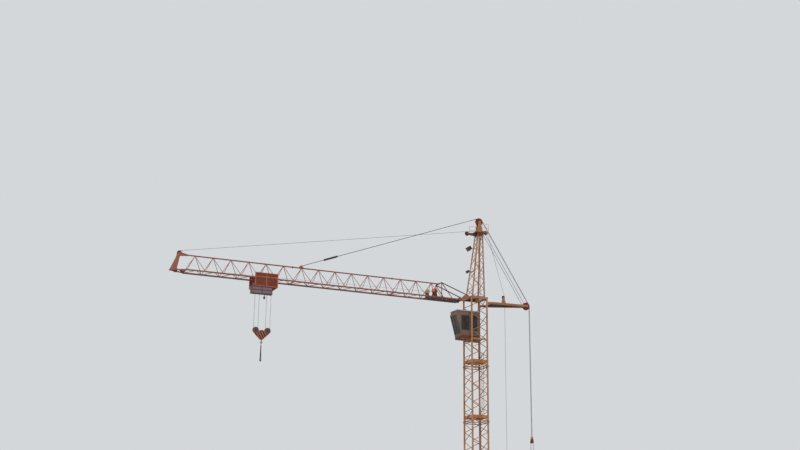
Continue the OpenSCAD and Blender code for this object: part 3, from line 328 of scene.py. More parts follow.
class Finish:
    """A material's node tree with short ways to add what each finish needs."""

    def __init__(self, name):
        self.material = bpy.data.materials.new(name)
        self.material.use_nodes = True
        self.tree = self.material.node_tree
        self.shader = self.tree.nodes["Principled BSDF"]
        self.place = self.add("ShaderNodeTexCoord").outputs["Object"]
        self.normal = self.add("ShaderNodeNewGeometry").outputs["Normal"]

    def add(self, kind, **values):
        node = self.tree.nodes.new(kind)
        for key, value in values.items():
            setattr(node, key, value)
        return node

    def link(self, source, target):
        self.tree.links.new(source, target)

    def noise(self, scale, detail=5, rough=0.6, stretch=None):
        node = self.add("ShaderNodeTexNoise")
        node.inputs["Scale"].default_value = scale
        node.inputs["Detail"].default_value = detail
        node.inputs["Roughness"].default_value = rough
        source = self.place
        if stretch:
            mapping = self.add("ShaderNodeMapping")
            mapping.inputs["Scale"].default_value = stretch
            self.link(self.place, mapping.inputs["Vector"])
            source = mapping.outputs["Vector"]
        self.link(source, node.inputs["Vector"])
        return node.outputs["Fac"]

    def spread(self, source, low, high, least=0.0, most=1.0):
        node = self.add("ShaderNodeMapRange")
        self.link(source, node.inputs["Value"])
        for key, value in (("From Min", low), ("From Max", high), ("To Min", least), ("To Max", most)):
            node.inputs[key].default_value = value
        return node.outputs["Result"]

    def maths(self, operation, first, second=None):
        node = self.add("ShaderNodeMath", operation=operation)
        for socket, value in zip(node.inputs, (first, second)):
            if value is None:
                continue
            if isinstance(value, (int, float)):
                socket.default_value = value
            else:
                self.link(value, socket)
        return node.outputs["Value"]

    def mix(self, amount, first, second):
        node = self.add("ShaderNodeMix", data_type="RGBA")
        self.link(amount, node.inputs[0])
        for socket, value in ((node.inputs[6], first), (node.inputs[7], second)):
            if isinstance(value, tuple):
                socket.default_value = value
            else:
                self.link(value, socket)
        return node.outputs[2]

    def axis(self, vector, name):
        node = self.add("ShaderNodeSeparateXYZ")
        self.link(vector, node.inputs[0])
        return node.outputs[name]

    # Mask of faces turned downwards, used for the painted shade on undersides.
    def facing_down(self, start=-0.25, end=-0.85):
        return self.spread(self.axis(self.normal, "Z"), start, end)

    def bump(self, height, strength, distance=0.01):
        node = self.add("ShaderNodeBump")
        node.inputs["Strength"].default_value = strength
        node.inputs["Distance"].default_value = distance
        self.link(height, node.inputs["Height"])
        self.link(node.outputs["Normal"], self.shader.inputs["Normal"])

    def done(self, colour, rough, metal=0.0):
        self.link(colour, self.shader.inputs["Base Color"])
        if isinstance(rough, float):
            self.shader.inputs["Roughness"].default_value = rough
        else:
            self.link(rough, self.shader.inputs["Roughness"])
        self.shader.inputs["Metallic"].default_value = metal
        return self.material


def weathered_paint(name, coat, faded, grime_and_shade, rust_from, shade):
    """Site paint: sun-faded areas, rain streaks and rust spots, with painted shade in the grime colour on
    undersides.
    """
    f, rust = Finish(name), tone(112, 62, 36)
    fade = f.spread(f.noise(0.55, 6, 0.7), 0.42, 0.58)
    colour = f.mix(fade, coat, faded)
    mottled = f.spread(f.noise(3.2, 7, 0.7), 0.38, 0.78, 0.0, 0.36)
    colour = f.mix(mottled, colour, grime_and_shade)
    rain = f.spread(f.noise(1.0, 6, 0.65, (9, 9, 0.7)), 0.52, 0.72, 0.0, 0.22)
    colour = f.mix(rain, colour, grime_and_shade)
    spots = f.spread(f.noise(19, 8, 0.78), rust_from, rust_from + 0.03)
    colour = f.mix(spots, colour, rust)
    # Painted shade: faces turned downwards take the grime colour, as far as the shade value says.
    under = f.maths("MULTIPLY", f.facing_down(), shade)
    colour = f.mix(under, colour, grime_and_shade)
    rough = f.spread(spots, 0, 1, 0.58, 0.88)
    f.shader.inputs["Specular IOR Level"].default_value = 0.25
    f.bump(f.maths("ADD", f.noise(45, 4, 0.6), f.maths("MULTIPLY", spots, 1.5)), 0.25, 0.004)
    return f.done(colour, rough)


def landing_steel():
    """Chequered landing plate: ochre edges, rust-brown plate."""
    f = Finish("landing_steel")
    rusty = f.mix(f.spread(f.noise(5, 8, 0.7), 0.35, 0.7), tone(92, 52, 32), tone(50, 32, 25))
    edge = f.mix(f.spread(f.noise(4, 6), 0.45, 0.7), tone(186, 122, 68), tone(138, 84, 48))
    level = f.spread(f.maths("ABSOLUTE", f.axis(f.normal, "Z")), 0.4, 0.6)
    colour = f.mix(level, edge, rusty)
    tread = f.add("ShaderNodeTexVoronoi", feature="F1", distance="CHEBYCHEV")
    tread.inputs["Scale"].default_value = 24
    f.link(f.place, tread.inputs["Vector"])
    f.bump(tread.outputs["Distance"], 0.3, 0.006)
    return f.done(colour, f.spread(f.noise(8, 4), 0.3, 0.7, 0.6, 0.85))


def greased_rope():
    """Steel wire rope: strands as slanting ridges, grease in between."""
    f = Finish("greased_rope")
    ridge = f.add("ShaderNodeTexWave", wave_type="BANDS", bands_direction="DIAGONAL")
    ridge.inputs["Scale"].default_value = 14
    ridge.inputs["Distortion"].default_value = 0.4
    f.link(f.place, ridge.inputs["Vector"])
    colour = f.mix(f.spread(ridge.outputs["Fac"], 0.2, 0.9), tone(38, 36, 37), tone(96, 93, 93))
    colour = f.mix(f.spread(f.noise(1.6, 6), 0.5, 0.75), colour, tone(70, 52, 42))
    f.bump(ridge.outputs["Fac"], 0.6, 0.004)
    return f.done(colour, f.spread(f.noise(12, 4), 0.3, 0.7, 0.4, 0.7), 0.4)


def worn_steel(name, bright, dark, metal=0.8):
    """Bare steel that the ropes and rails rub bright, with brown rust film."""
    f = Finish(name)
    colour = f.mix(f.spread(f.noise(2.2, 7, 0.7), 0.35, 0.65), bright, dark)
    colour = f.mix(f.spread(f.noise(11, 6, 0.7), 0.56, 0.66), colour, tone(92, 58, 40))
    f.bump(f.noise(60, 5, 0.7), 0.25, 0.003)
    return f.done(colour, f.spread(f.noise(5, 5), 0.3, 0.7, 0.35, 0.7), metal)


def cast_concrete():
    f = Finish("cast_concrete")
    clean = f.spread(f.noise(1.6, 6, 0.65), 0.3, 0.7)
    colour = f.mix(clean, tone(168, 163, 154), tone(138, 134, 127))
    stains = f.spread(f.noise(1.0, 6, 0.7, (7, 7, 0.8)), 0.5, 0.75, 0.0, 0.7)
    colour = f.mix(stains, colour, tone(98, 92, 84))
    pores = f.add("ShaderNodeTexVoronoi", feature="F1")
    pores.inputs["Scale"].default_value = 55
    f.link(f.place, pores.inputs["Vector"])
    holes = f.spread(pores.outputs["Distance"], 0.0, 0.16)
    colour = f.mix(holes, tone(86, 82, 78), colour)
    f.bump(f.maths("ADD", holes, f.noise(25, 6, 0.7)), 0.5, 0.006)
    return f.done(colour, f.spread(holes, 0, 1, 0.95, 0.82))


def striped_block():
    """Hook block plates: slanting orange and near-black bands, black round the sheaves."""
    f = Finish("striped_block")
    x = f.maths("SUBTRACT", f.axis(f.place, "X"), TROLLEY_X)
    z = f.maths("SUBTRACT", f.axis(f.place, "Z"), HOOK_Z)
    slant = f.maths("ADD", f.maths("MULTIPLY", x, 0.87), f.maths("MULTIPLY", z, -0.49))
    wave = f.maths("SINE", f.maths("MULTIPLY", slant, 27.0))
    band = f.spread(wave, -0.08, 0.08)
    orange = f.mix(f.spread(f.noise(6, 6, 0.7), 0.4, 0.7), tone(176, 88, 62), tone(140, 72, 54))
    colour = f.mix(band, tone(44, 36, 34), orange)
    side = f.maths("SUBTRACT", f.maths("ABSOLUTE", x), 0.565)
    far = f.maths("SQRT", f.maths("ADD", f.maths("POWER", side, 2), f.maths("POWER", z, 2)))
    colour = f.mix(f.spread(far, 0.272, 0.278), tone(84, 66, 54), colour)
    scratched = f.spread(f.noise(1.0, 7, 0.7, (26, 26, 5)), 0.6, 0.7, 0.0, 0.8)
    colour = f.mix(scratched, colour, tone(104, 74, 58))
    f.bump(f.noise(50, 5, 0.7), 0.25, 0.003)
    return f.done(colour, f.spread(scratched, 0, 1, 0.5, 0.8))


def clear_pane(name, tint, film, rough=0.08):
    """Dark cab glass with a film of dust."""
    f = Finish(name)
    dust = f.spread(f.noise(2.4, 6, 0.6), 0.4, 0.75)
    colour = f.mix(dust, tint, film)
    f.shader.inputs["Specular IOR Level"].default_value = 0.35
    f.shader.inputs["Coat Weight"].default_value = 0.15
    f.shader.inputs["Coat Roughness"].default_value = 0.05
    f.bump(f.noise(18, 3), 0.03, 0.002)
    return f.done(colour, f.spread(dust, 0, 1, rough, rough + 0.25))


# Coat, sun-faded coat and grime as seen (the grime is also the painted shade below), where rust starts, how
# much painted shade below, and the record's slot
PAINTS = {
    "ochre": ((168, 114, 72), (182, 138, 106), (92, 60, 44), 0.60, 0.85, "ochre_paint"),
    "deep_ochre": ((172, 106, 56), (180, 122, 76), (80, 46, 28), 0.60, 0.85, "ochre_paint"),
    # The strut's paint: full painted shade in the grime colour on faces turned downwards.
    "brown_ochre": ((160, 104, 66), (172, 122, 86), (54, 27, 18), 0.60, 1.0, "ochre_paint"),
    "coral": ((154, 90, 70), (166, 108, 90), (76, 45, 36), 0.61, 0.85, "jib_paint"),
    # A darker copy of the jib's paint: painted shade on the root's cross frame and on the head's front
    # bracket.
    "shade_brown_red": ((112, 64, 50), (126, 80, 66), (54, 34, 28), 0.61, 0.8, "jib_paint"),
    "rust_orange": ((172, 84, 52), (166, 96, 70), (74, 38, 27), 0.60, 0.85, "trolley_paint"),
    "bright_orange": ((220, 136, 100), (214, 146, 114), (104, 56, 38), 0.62, 0.8, "trolley_paint"),
    # A darker copy of the trolley paint: painted shade on the trolley's webs and the winch stands.
    "shade_dark_red": ((112, 48, 36), (124, 62, 46), (58, 28, 22), 0.58, 0.8, "trolley_paint"),
    "yellow_green": ((184, 172, 104), (172, 162, 112), (104, 92, 60), 0.64, 0.6, "trolley_paint"),
    "maroon": ((120, 40, 42), (132, 60, 56), (60, 27, 27), 0.60, 0.6, "maroon_paint"),
    "lilac_sheet": ((138, 117, 120), (126, 105, 110), (86, 64, 60), 0.66, 0.5, "basket_paint"),
    "cab_enamel": ((126, 100, 84), (114, 90, 76), (66, 44, 34), 0.63, 0.8, "cab_white"),
    "machine_grey": ((122, 130, 134), (140, 146, 148), (66, 66, 66), 0.63, 0.6, "winch_grey"),
    "cabinet_grey": ((172, 176, 176), (188, 190, 188), (108, 104, 98), 0.67, 0.4, "cab_white"),
    "dark_frame": ((74, 48, 43), (88, 58, 49), (42, 29, 26), 0.62, 0.6, "steel"),
    # Dark brown floor paint that is also painted shade: on the plates under the jib, between the strut's legs
    # and under the cab.
    "brown_floor_shade": ((92, 48, 32), (104, 60, 42), (60, 29, 20), 0.58, 0.9, "rusty_steel"),
    "rubber_black": ((34, 32, 32), (46, 44, 43), (26, 24, 24), 0.72, 0.3, "rusty_steel"),
    "lamp_shell": ((62, 45, 38), (74, 55, 47), (36, 27, 23), 0.64, 0.6, "lamp_grey")}
FINISHES = {name: (weathered_paint(name, *(tone(*c) for c in colours), rust_from, shade), slot)
            for name, (*colours, rust_from, shade, slot) in PAINTS.items()}
FINISHES |= {
    "landing_steel": (landing_steel(), "rusty_steel"),
    "greased_rope": (greased_rope(), "rope"),
    "tread_steel": (worn_steel("tread_steel", tone(150, 146, 142), tone(84, 78, 74)), "steel"),
    "dark_steel": (worn_steel("dark_steel", tone(84, 80, 78), tone(50, 46, 44), 0.6), "steel"),
    "cast_concrete": (cast_concrete(), "concrete"),
    "striped_block": (striped_block(), "block_paint"),
    "cab_glass": (clear_pane("cab_glass", tone(26, 20, 18), tone(58, 46, 41)), "cab_glass"),
    "lamp_glass": (clear_pane("lamp_glass", tone(52, 40, 34), tone(66, 52, 45), 0.2), "cab_glass")}
for node, finish in (("lower_race", "tread_steel"), ("cab_glazing", "cab_glass")):
    for spot in nodes[node].material_slots:
        spot.material = FINISHES[finish][0]


def fit(name, parts, finish, *stands_for, body="superstructure", slot=None, at=(0, 0, 0)):
    """Joins parts, moves them to their place, paints them and hangs them on their body."""
    piece = placed(joined(parts, name), Matrix.Translation(at))
    piece.data.materials.clear()
    piece.data.materials.append(FINISHES[finish][0])
    if body:
        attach(piece, body)
    if stands_for:
        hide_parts(*stands_for)
    return piece


# ---- Sheaves, pins and ropes ----
def sheave(pitch, half=0.03, bore=0.04):
    """A grooved sheave with a thinner web and a hub, turned round Y at the origin."""
    rim, groove = pitch + 1.5 * ROPE_R, pitch - ROPE_R - FIT_GAP
    web, hub, inner = half * 0.35, bore + 0.045, groove - 0.035
    side = [(bore, half), (hub, half), (hub + 0.006, web), (inner - 0.006, web), (inner, half),
            (rim - 0.004, half), (rim, half - 0.005), (groove + 0.004, ROPE_R)]
    return turned([(r, -y) for r, y in side] + [(groove, 0)] + side[::-1])


def sheaves(pitch, places, axle, length=0.0894):
    """Sheaves of one size, each on its own axle."""
    return [copies(sheave(pitch), shifts(places))] + [pin(place, axle, length) for place in places]


def at(stop, y=0.0):
    """Where a sheave or drum (x, z, signed radius) stands."""
    return (stop[0], y, stop[1])


def heading(a, b):
    """Direction of the rope from sheave a to sheave b, each (x, z, signed radius)."""
    run_x, run_z = b[0] - a[0], b[1] - a[1]
    return atan2(run_z, run_x) - asin((b[2] - a[2]) / hypot(run_x, run_z))


def route(stops, y, step=radians(10)):
    """Points of a rope led over a row of sheaves in the upright plane at y."""
    points = [at(stops[0], y)]
    for before, here, after in zip(stops, stops[1:], stops[2:]):
        first, last = heading(before, here), heading(here, after)
        sweep = (last - first) % (2 * pi) if here[2] > 0 else -((first - last) % (2 * pi))
        if abs(sweep) > radians(359):
            sweep = 0
        count = max(1, ceil(abs(sweep) / step))
        for angle in (first + sweep * k / count for k in range(count + 1)):
            points.append((here[0] + here[2] * sin(angle), y, here[1] - here[2] * cos(angle)))
    return points + [at(stops[-1], y)]


head_sheave = (HEAD_X, HEAD_TOP + 1.18, LARGE_R)
strut_sheave = (-4.42, JIB_Z + 0.19, LARGE_R)
mid_sheave = (-1.8, JIB_Z + 0.87, -GUIDE_R)
rear_sheave = (HEAD_X - 0.73, HEAD_TOP + 0.12, -SMALL_R)
front_sheave = (HEAD_X + 1.38, HEAD_TOP - 0.2, -SMALL_R)
tip_sheave = (JIB_JOINTS[3] + 0.55, JIB_TOP_Z + 0.13, -SMALL_R)
low_sheave = (JIB_JOINTS[3] + 0.85, ROPE_LINE_Z + SMALL_R, -SMALL_R)
root_guide = (4.9, ROPE_LINE_Z + GUIDE_R, GUIDE_R)
tip_guide = (JIB_JOINTS[3] + 0.25, ROPE_LINE_Z + GUIDE_R, GUIDE_R)
winch_drum = (5.91, JIB_Z + 0.77, 0.19)
hoist_drum = (-1.65, FLOOR_Z + 0.52, 0.3)
luff_drum = (-2.7, FLOOR_Z + 0.44, 0.24)
rope_end = (CHORD_START + 0.3, ROPE_LINE_Z, 0)
tackle_x, tackle_z = strut_sheave[0] - LARGE_R, FLOOR_Z + 11.7
lug = Vector((JIB_JOINTS[0] + 8.5 * BAY, 0, JIB_TOP_Z + 0.19))
pendant_turn = heading((lug.x, lug.z, 0), head_sheave)
pendant_way = Vector((cos(pendant_turn), 0, sin(pendant_turn)))


def on_pendant(distance, y=0.0):
    return lug + pendant_way * distance + Vector((0, y, 0))


fit("head_front_sheave", sheaves(SMALL_R, [at(front_sheave)], 0.04), "dark_frame", "hoist_sheaves",
    slot="maroon_paint")
fit("hoist_sheave_set", sheaves(SMALL_R, [at(rear_sheave)], 0.04, 0.2994)
    + sheaves(SMALL_R, [at(tip_sheave), at(low_sheave)], 0.04)
    + sheaves(GUIDE_R, [at(mid_sheave), at(root_guide, GUIDE_Y), at(tip_guide, GUIDE_Y)], 0.04),
    "maroon", "hoist_sheaves")
fit("luffing_sheave_set", [
    copies(sheave(LARGE_R), shifts(at(stop, s * LUFF_Y) for stop in (head_sheave, strut_sheave)
                                   for s in SIDES)),
    pin(at(head_sheave), 0.055, 0.2994), pin(at(strut_sheave), 0.055, 0.2594)], "maroon", "luffing_sheaves")
fit("trolley_sheave_set",
    sheaves(SMALL_R, [(TROLLEY_X + s * (OUTER_FALL + SMALL_R), 0, ROPE_LINE_Z - SMALL_R) for s in SIDES],
            0.04)
    + sheaves(INNER_FALL, [(TROLLEY_X, 0, ROPE_LINE_Z - INNER_FALL)], 0.04),
    "maroon", "trolley_sheaves", body="trolley")
fit("hook_sheave_set", sheaves(SMALL_R, [(s * (OUTER_FALL - SMALL_R), 0, 0) for s in SIDES], 0.045),
    "maroon", "hook_sheaves", body="hook_block", at=HOOK)

hoist_stops = [(-1.95, hoist_drum[1], 0), mid_sheave, rear_sheave, front_sheave, tip_sheave, low_sheave,
               rope_end]
fit("hoist_rope_run", [swept(route(hoist_stops, 0), ROPE_R)], "greased_rope", "hoist_rope")
fit("trolley_rope_run", [swept(route([
    (winch_drum[0] - winch_drum[2], winch_drum[1], 0), root_guide, tip_guide,
    (winch_drum[0], winch_drum[1] - winch_drum[2], 0)], GUIDE_Y), 0.008)], "greased_rope", "trolley_rope")


def luffing_run():
    """Luffing ropes from the pendants' cage to the strut and down to the winch."""
    start, (drum_x, drum_z, drum_r) = on_pendant(LINKS_END + 0.0353), luff_drum
    stops = [(start.x, start.z, 0), head_sheave, strut_sheave, (tackle_x, tackle_z, 0)]
    parts = [swept(route(stops, s * LUFF_Y), LUFF_R) for s in SIDES]
    parts += [rod((rear_sheave[0] + 0.25, s * (0.18 + ROPE_R), HEAD_TOP + 0.11),
                  (-4.12, s * 0.23, strut_sheave[1] + 0.11 + ROPE_R), LUFF_R) for s in SIDES]
    parts += [rod((tackle_x + k * 0.15, s * 0.07, FLOOR_Z + 0.15),
                  (tackle_x + k * 0.15, s * 0.07, tackle_z - 0.42), ROPE_R - 0.003, 10) for s in SIDES
                  for k in SIDES]
    lead = [(tackle_x, FLOOR_Z + 0.3 + ROPE_R, 0), (drum_x, drum_z, -drum_r),
            (drum_x + drum_r, drum_z - 0.1, 0)]
    return parts + [swept(route(lead, 0), ROPE_R)]


fit("luffing_rope_run", luffing_run(), "greased_rope", "luffing_ropes")

fall_top = ROPE_LINE_Z - INNER_FALL
falls = fit("hoist_fall_ropes", [
    swept([(s * x, 0, (fall_top - HOOK_Z) * k / 12) for k in range(13)], ROPE_R)
    for x in (OUTER_FALL, INNER_FALL) for s in SIDES], "greased_rope", "hoist_falls", body=None, at=HOOK)
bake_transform(falls)


def pendant_bars():
    """Pendant bars with forged eyes, and the cage of flat links that joins them to the ropes."""
    side, ends = LUFF_Y + 0.035, (BARS_END, LINKS_MIDDLE, LINKS_END)
    parts = [pin(on_pendant(0), 0.0297, 2 * LUFF_Y + 0.14)]
    parts += [pin(on_pendant(distance), 0.035, 2 * LUFF_Y + 0.1) for distance in ends]
    for s in SIDES:
        parts.append(rod(on_pendant(0.03, s * LUFF_Y), on_pendant(BARS_END, s * LUFF_Y), ROPE_R + 0.006, 14))
        parts.append(placed(block((-0.72, -0.01, -0.08), (0.72, 0.01, 0.08), 0.006),
                            Matrix.Translation(on_pendant(LINKS_MIDDLE, s * side)),
                            Matrix.Rotation(-pendant_turn, 4, "Y")))
        parts += [pin(on_pendant(distance, s * side), 0.06, 0.028) for distance in ends]
    return parts


fit("pendant_bars", pendant_bars(), "dark_steel", "pendants", slot="rope")

# ---- Hook block, hook and sling, built round the block's sheave line ----
BOWL_Z, BOWL_R, LINK_R = -1.08, 0.08, 0.095
fit("hook_block_cheeks", [reworked("hook_block", 0.005, 2)], "striped_block", "hook_block", body="hook_block")
fit("hook_block_pins", [
    pin((x, 0, z), 0.022, 0.158) for x, z in ((-0.3, -0.36), (0.3, -0.36), (0, -0.12), (-0.13, -0.6),
                                              (0.13, -0.6))]
    + [pin((s * (OUTER_FALL - SMALL_R), k * 0.074, 0), 0.085, 0.018) for s in SIDES for k in SIDES],
    "dark_steel", body="hook_block", at=HOOK)


def forged_hook():
    """Shank, nut and a hook whose section swells at the bowl and thins to the tip."""
    shares = [k / 32 for k in range(33)]
    points = [(x, 0, z) for x, z in arc(0, BOWL_Z, BOWL_R, (90 + 285 * t for t in shares))]
    swell = [0.85 + 0.35 * sin(pi * min(1, t * 1.15)) - 0.55 * max(0, t - 0.7) for t in shares]
    nut = [(0.034, -0.025), (0.041, -0.025), (0.043, -0.018), (0.043, 0.018), (0.041, 0.025), (0.034, 0.025)]
    return [swept([(0, 0, BOWL_Z + 0.16)] + points, 0.034, 4, [0.9] + swell),
            pin((0, 0, -0.84), 0.0345, 0.36, "z"), turned(nut, (0, 0, -0.64), "z", 6)]


def rope_sling():
    """Master link and four wire-rope legs with pressed ferrules at both ends."""
    link_top = BOWL_Z - BOWL_R + 0.034 + 0.012 + FIT_GAP
    link = [(0, y, z) for y, z in arc(0, link_top - LINK_R, LINK_R, range(0, 360, 9))]
    parts = [swept(link, 0.012, 3, closed=True)]
    for c, s in arc(0, 0, 1, range(45, 360, 90)):
        start = Vector((0.012 * c, 0.02 * s, link_top - 2 * LINK_R))
        end = Vector((0.068 * c, 0.068 * s, start.z - 1.53))
        parts.append(swept([start.lerp(end, k / 8) for k in range(9)], 0.022))
        parts += [rod(start.lerp(end, share), start.lerp(end, share + 0.07), 0.028) for share in (0.08, 0.92)]
    return parts


fit("forged_hook", forged_hook(), "dark_steel", "hook", body="load_hook", at=HOOK)
fit("rope_sling", rope_sling(), "dark_steel", "sling", body="load_hook", at=HOOK)


# ---- Trolley, built round the middle of the jib's lower chords ----
def trolley_sides():
    """Side frames of box rails and posts, thin dark webs between them as painted shade, and the sheave beams.
    """
    half, y, top, low, roller, parts = 1.1, JIB_HALF + 0.16, 0.45, -0.85, 0.0513, []
    for z1, z2 in ((top - 0.1, top), (low, low + 0.1), (roller - 0.07, roller + 0.07)):
        parts += both((-half, y, z1), (half, y + 0.06, z2), 0.008)
    for x in (-half, -0.05, half - 0.1):
        parts += both((x - 0.002, y - 0.002, low - 0.002), (x + 0.102, y + 0.062, top + 0.002), 0.008)
    for x in (-half, half - 0.1):
        parts.append(block((x, -y, low), (x + 0.1, y, low + 0.1), 0.008))
        parts.append(block((x, -y, -0.71), (x + 0.1, y, -0.63), 0.006))
    parts += both((0.002 - half, 0.045, -0.708), (half - 0.002, 0.065, -0.32))
    parts += [rod((k * 0.05, s * (y + 0.045), low + 0.1),
                  (k * (half - 0.1), s * (y + 0.045), roller - 0.07), 0.014, 10)
              for s in SIDES for k in SIDES]
    return parts, both((0.09 - half, y + 0.024, low + 0.09), (half - 0.09, y + 0.036, top - 0.09), 0.002)


def basket():
    """Basket of sheet panels in a dark angle frame, with a slatted floor and a hanging lamp."""
    (x1, y1, z1), (x2, y2, z2), bar, out = (-0.6, 0.5, -1.5503), (1.4, 0.92, -0.8503), 0.05, 0.002
    lamp = [(0.002, 0), (0.03, 0), (0.03, -0.17), (0.06, -0.18), (0.085, -0.20), (0.085, -0.40),
            (0.07, -0.43), (0.002, -0.43)]
    bars = [turned(lamp, (0.1, 0.71, z1), "z", 24)]
    bars += [block((x - out, y - out, z1 - out), (x + bar + out, y + bar + out, z2 + out))
             for x in (x1, (x1 + x2 - bar) / 2, x2 - bar) for y in (y1, y2 - bar)]
    for z in (z1, z1 + 0.33, z2 - bar):
        bars += [block((x1 + 0.01, y, z), (x2 - 0.01, y + bar, z + bar)) for y in (y1, y2 - bar)]
        bars += [block((x, y1 + 0.01, z), (x + bar, y2 - 0.01, z + bar)) for x in (x1, x2 - bar)]
    bars += [block((x1 + 0.2 * k, y1 + 0.02, z1 + 0.008), (x1 + 0.2 * k + 0.03, y2 - 0.02, z1 + 0.03), 0.002)
             for k in range(1, 10)]
    low, high = z1 + 0.05, z2 - 0.06
    sheets = [block((x1 + 0.02, y, low), (x2 - 0.02, y + 0.006, high), 0.002)
              for y in (y1 + 0.014, y2 - 0.02)]
    sheets += [block((x, y1 + 0.02, low), (x + 0.006, y2 - 0.02, high), 0.002)
               for x in (x1 + 0.014, x2 - 0.02)]
    sheets.append(block((x1 + 0.02, y1 + 0.02, z1 + 0.03), (x2 - 0.02, y2 - 0.02, z1 + 0.036), 0.002))
    return bars, sheets


def rollers():
    """Flanged running wheels with their axles through the side frames."""
    parts, level = [], FLANGE_THICK - CHORD_HALF + ROLLER_R + FIT_GAP
    for sx, sy in CORNERS:
        wheel = [(0.02, -0.025), (ROLLER_R, -0.025), (ROLLER_R, -0.017), (ROLLER_R, -0.015),
                 (ROLLER_R, 0.025), (0.02, 0.025)]
        parts.append(turned([(r, sy * y) for r, y in wheel], (sx * 0.78, sy * 0.8, level), steps=36))
        parts.append(pin((sx * 0.78, sy * 0.83, level), 0.028, 0.11))
    return parts


trolley_frame, trolley_shade_webs = trolley_sides()
fit("trolley_side_frames", trolley_frame, "rust_orange", "trolley_frame", body="trolley", at=TROLLEY)
# The webs are painted shade: dark sheets where the frame's inside lies in shade.
fit("trolley_shade_webs", trolley_shade_webs, "shade_dark_red", "trolley_frame", body="trolley", at=TROLLEY)
basket_frame, basket_sheets = basket()
fit("basket_frame", basket_frame, "dark_frame", "service_basket", body="trolley", slot="trolley_paint",
    at=TROLLEY)
fit("basket_sheets", basket_sheets, "lilac_sheet", "service_basket", body="trolley", at=TROLLEY)


# ---- Tower ----
def tower_section(low, high, pitches, open_front=False):
    """Square chords with rounded corners, tube lacing, bolted flanges and weld plates."""
    h, parts, bars = TOWER_HALF, [], []
    lo, hi = Vector((0, 0, low + 0.11)), Vector((0, 0, high - 0.11))
    for i, (sx, sy) in enumerate(CORNERS):
        x, y = TOWER_X + sx * h, sy * h
        parts.append(upright(x, y, low, high, 0.07, 0.014))
        parts += [upright(x, y, z, z + 0.02, 0.115, 0.003) for z in (low, high - 0.02)]
        parts += [upright(x, y, z, z + 0.10, a, 0.0015, b) for z in (low + 0.02, high - 0.12)
                  for a, b in ((0.004, 0.112), (0.112, 0.004))]
        if open_front and i == 3:
            continue
        tx, ty = CORNERS[(i + 1) % 4]
        a, b = Vector((x, y, 0)), Vector((TOWER_X + tx * h, ty * h, 0))
        bars += [(a + lo, b + lo, 0.038), (a + hi, b + hi, 0.038)]
        bars += zigzag(a + lo, b + lo, a + hi, b + hi, pitches, 0.032)
    return parts + [tubes(bars)]


def flange_bolts(level, half=TOWER_HALF):
    """Bolts above and below a flanged joint of the tower."""
    places = [(TOWER_X + sx * half + dx * 0.093, sy * half + dy * 0.093) for sx, sy in CORNERS
              for dx, dy in CORNERS]
    return [bolts([(x, y, z) for x, y in places], 0.014, turn)
            for z, turn in ((level + 0.02, None), (level - 0.02, FACE_DOWN))]


fit("lower_section_lattice", tower_section(*SECTION_FEET[0:2], 3), "ochre", "lower_section")
fit("middle_section_lattice", tower_section(*SECTION_FEET[1:3], 3), "ochre", "middle_section")
fit("lower_joint_bolts", flange_bolts(SECTION_FEET[1]), "dark_steel")
fit("upper_joint_bolts", flange_bolts(SECTION_FEET[2]), "dark_steel")


# ---- Jib ----
def jib_chords(first, last):
    """Both box chords with the trolley's running flanges."""
    y, c = JIB_HALF, CHORD_HALF
    return (both((first, y - c, JIB_Z - c), (last, y + c, JIB_Z + c), 0.010)
            + both((first, y + c - 0.002, JIB_Z - c), (last, y + c + 0.07, JIB_Z - c + FLANGE_THICK), 0.002))


def across(x, half, radius):
    """A cross bar between the jib's lower chords."""
    return ((x, -half, JIB_Z), (x, half, JIB_Z), radius)


def jib_lattice(first, last, count):
    """One jib part: box chords, joint plates, tube lacing and the round top chord."""
    y, c, z, top = JIB_HALF, CHORD_HALF, JIB_Z, JIB_TOP_Z
    start, end, parts = first + 0.06, last - 0.06, jib_chords(first, last)
    for x in (first, last - 0.02):
        parts += both((x, y - c - 0.05, z - c - 0.002), (x + 0.02, y + c + 0.002, z + c + 0.05), 0.003)
        parts.append(pin((x + 0.01, 0, top), 0.105, 0.02, "x", 32))
    bars = [across(start, y, 0.032), across(end, y, 0.032)]
    for a, b, b_z in ((-y, 0, top), (y, 0, top), (-y, y, z)):
        bars += zigzag((start, a, z), (start, b, b_z), (end, a, z), (end, b, b_z), count, 0.026)
    return parts + [tubes(bars), rod((first, 0, top), (last, 0, top), 0.06, 20)]


def jib_bolts():
    """Bolts of the jib's two joints, round the top chord and beside the lower ones."""
    joints = [x + 0.02 for x in JIB_JOINTS[1:3]]
    low = [(x, s * (JIB_HALF - 0.085), JIB_Z + z) for x in joints for s in SIDES
           for z in (-0.03, 0.03, 0.085)]
    top = [(x, *place) for x in joints for place in arc(0, JIB_TOP_Z, 0.082, range(0, 360, 45))]
    return [bolts(top, 0.010, FACE_X), bolts(low, 0.012, FACE_X)]


def guide_bracket(guide, half_at):
    """Two cheek plates on cross bars that hold a guide sheave of the trolley rope."""
    (x, z, _), level = guide, JIB_Z
    outline = [(x - 0.23, level + 0.026), (x + 0.23, level + 0.026), (x + 0.23, level - 0.026),
               (x + 0.05, z - 0.055), (x - 0.05, z - 0.055), (x - 0.23, level - 0.026)]
    bars = [across(x + k, half_at(x + k), 0.03) for k in (-0.21, 0.21)]
    return cheeks(outline, 0.055, 0.02, 0.002, GUIDE_Y) + [tubes(bars)]


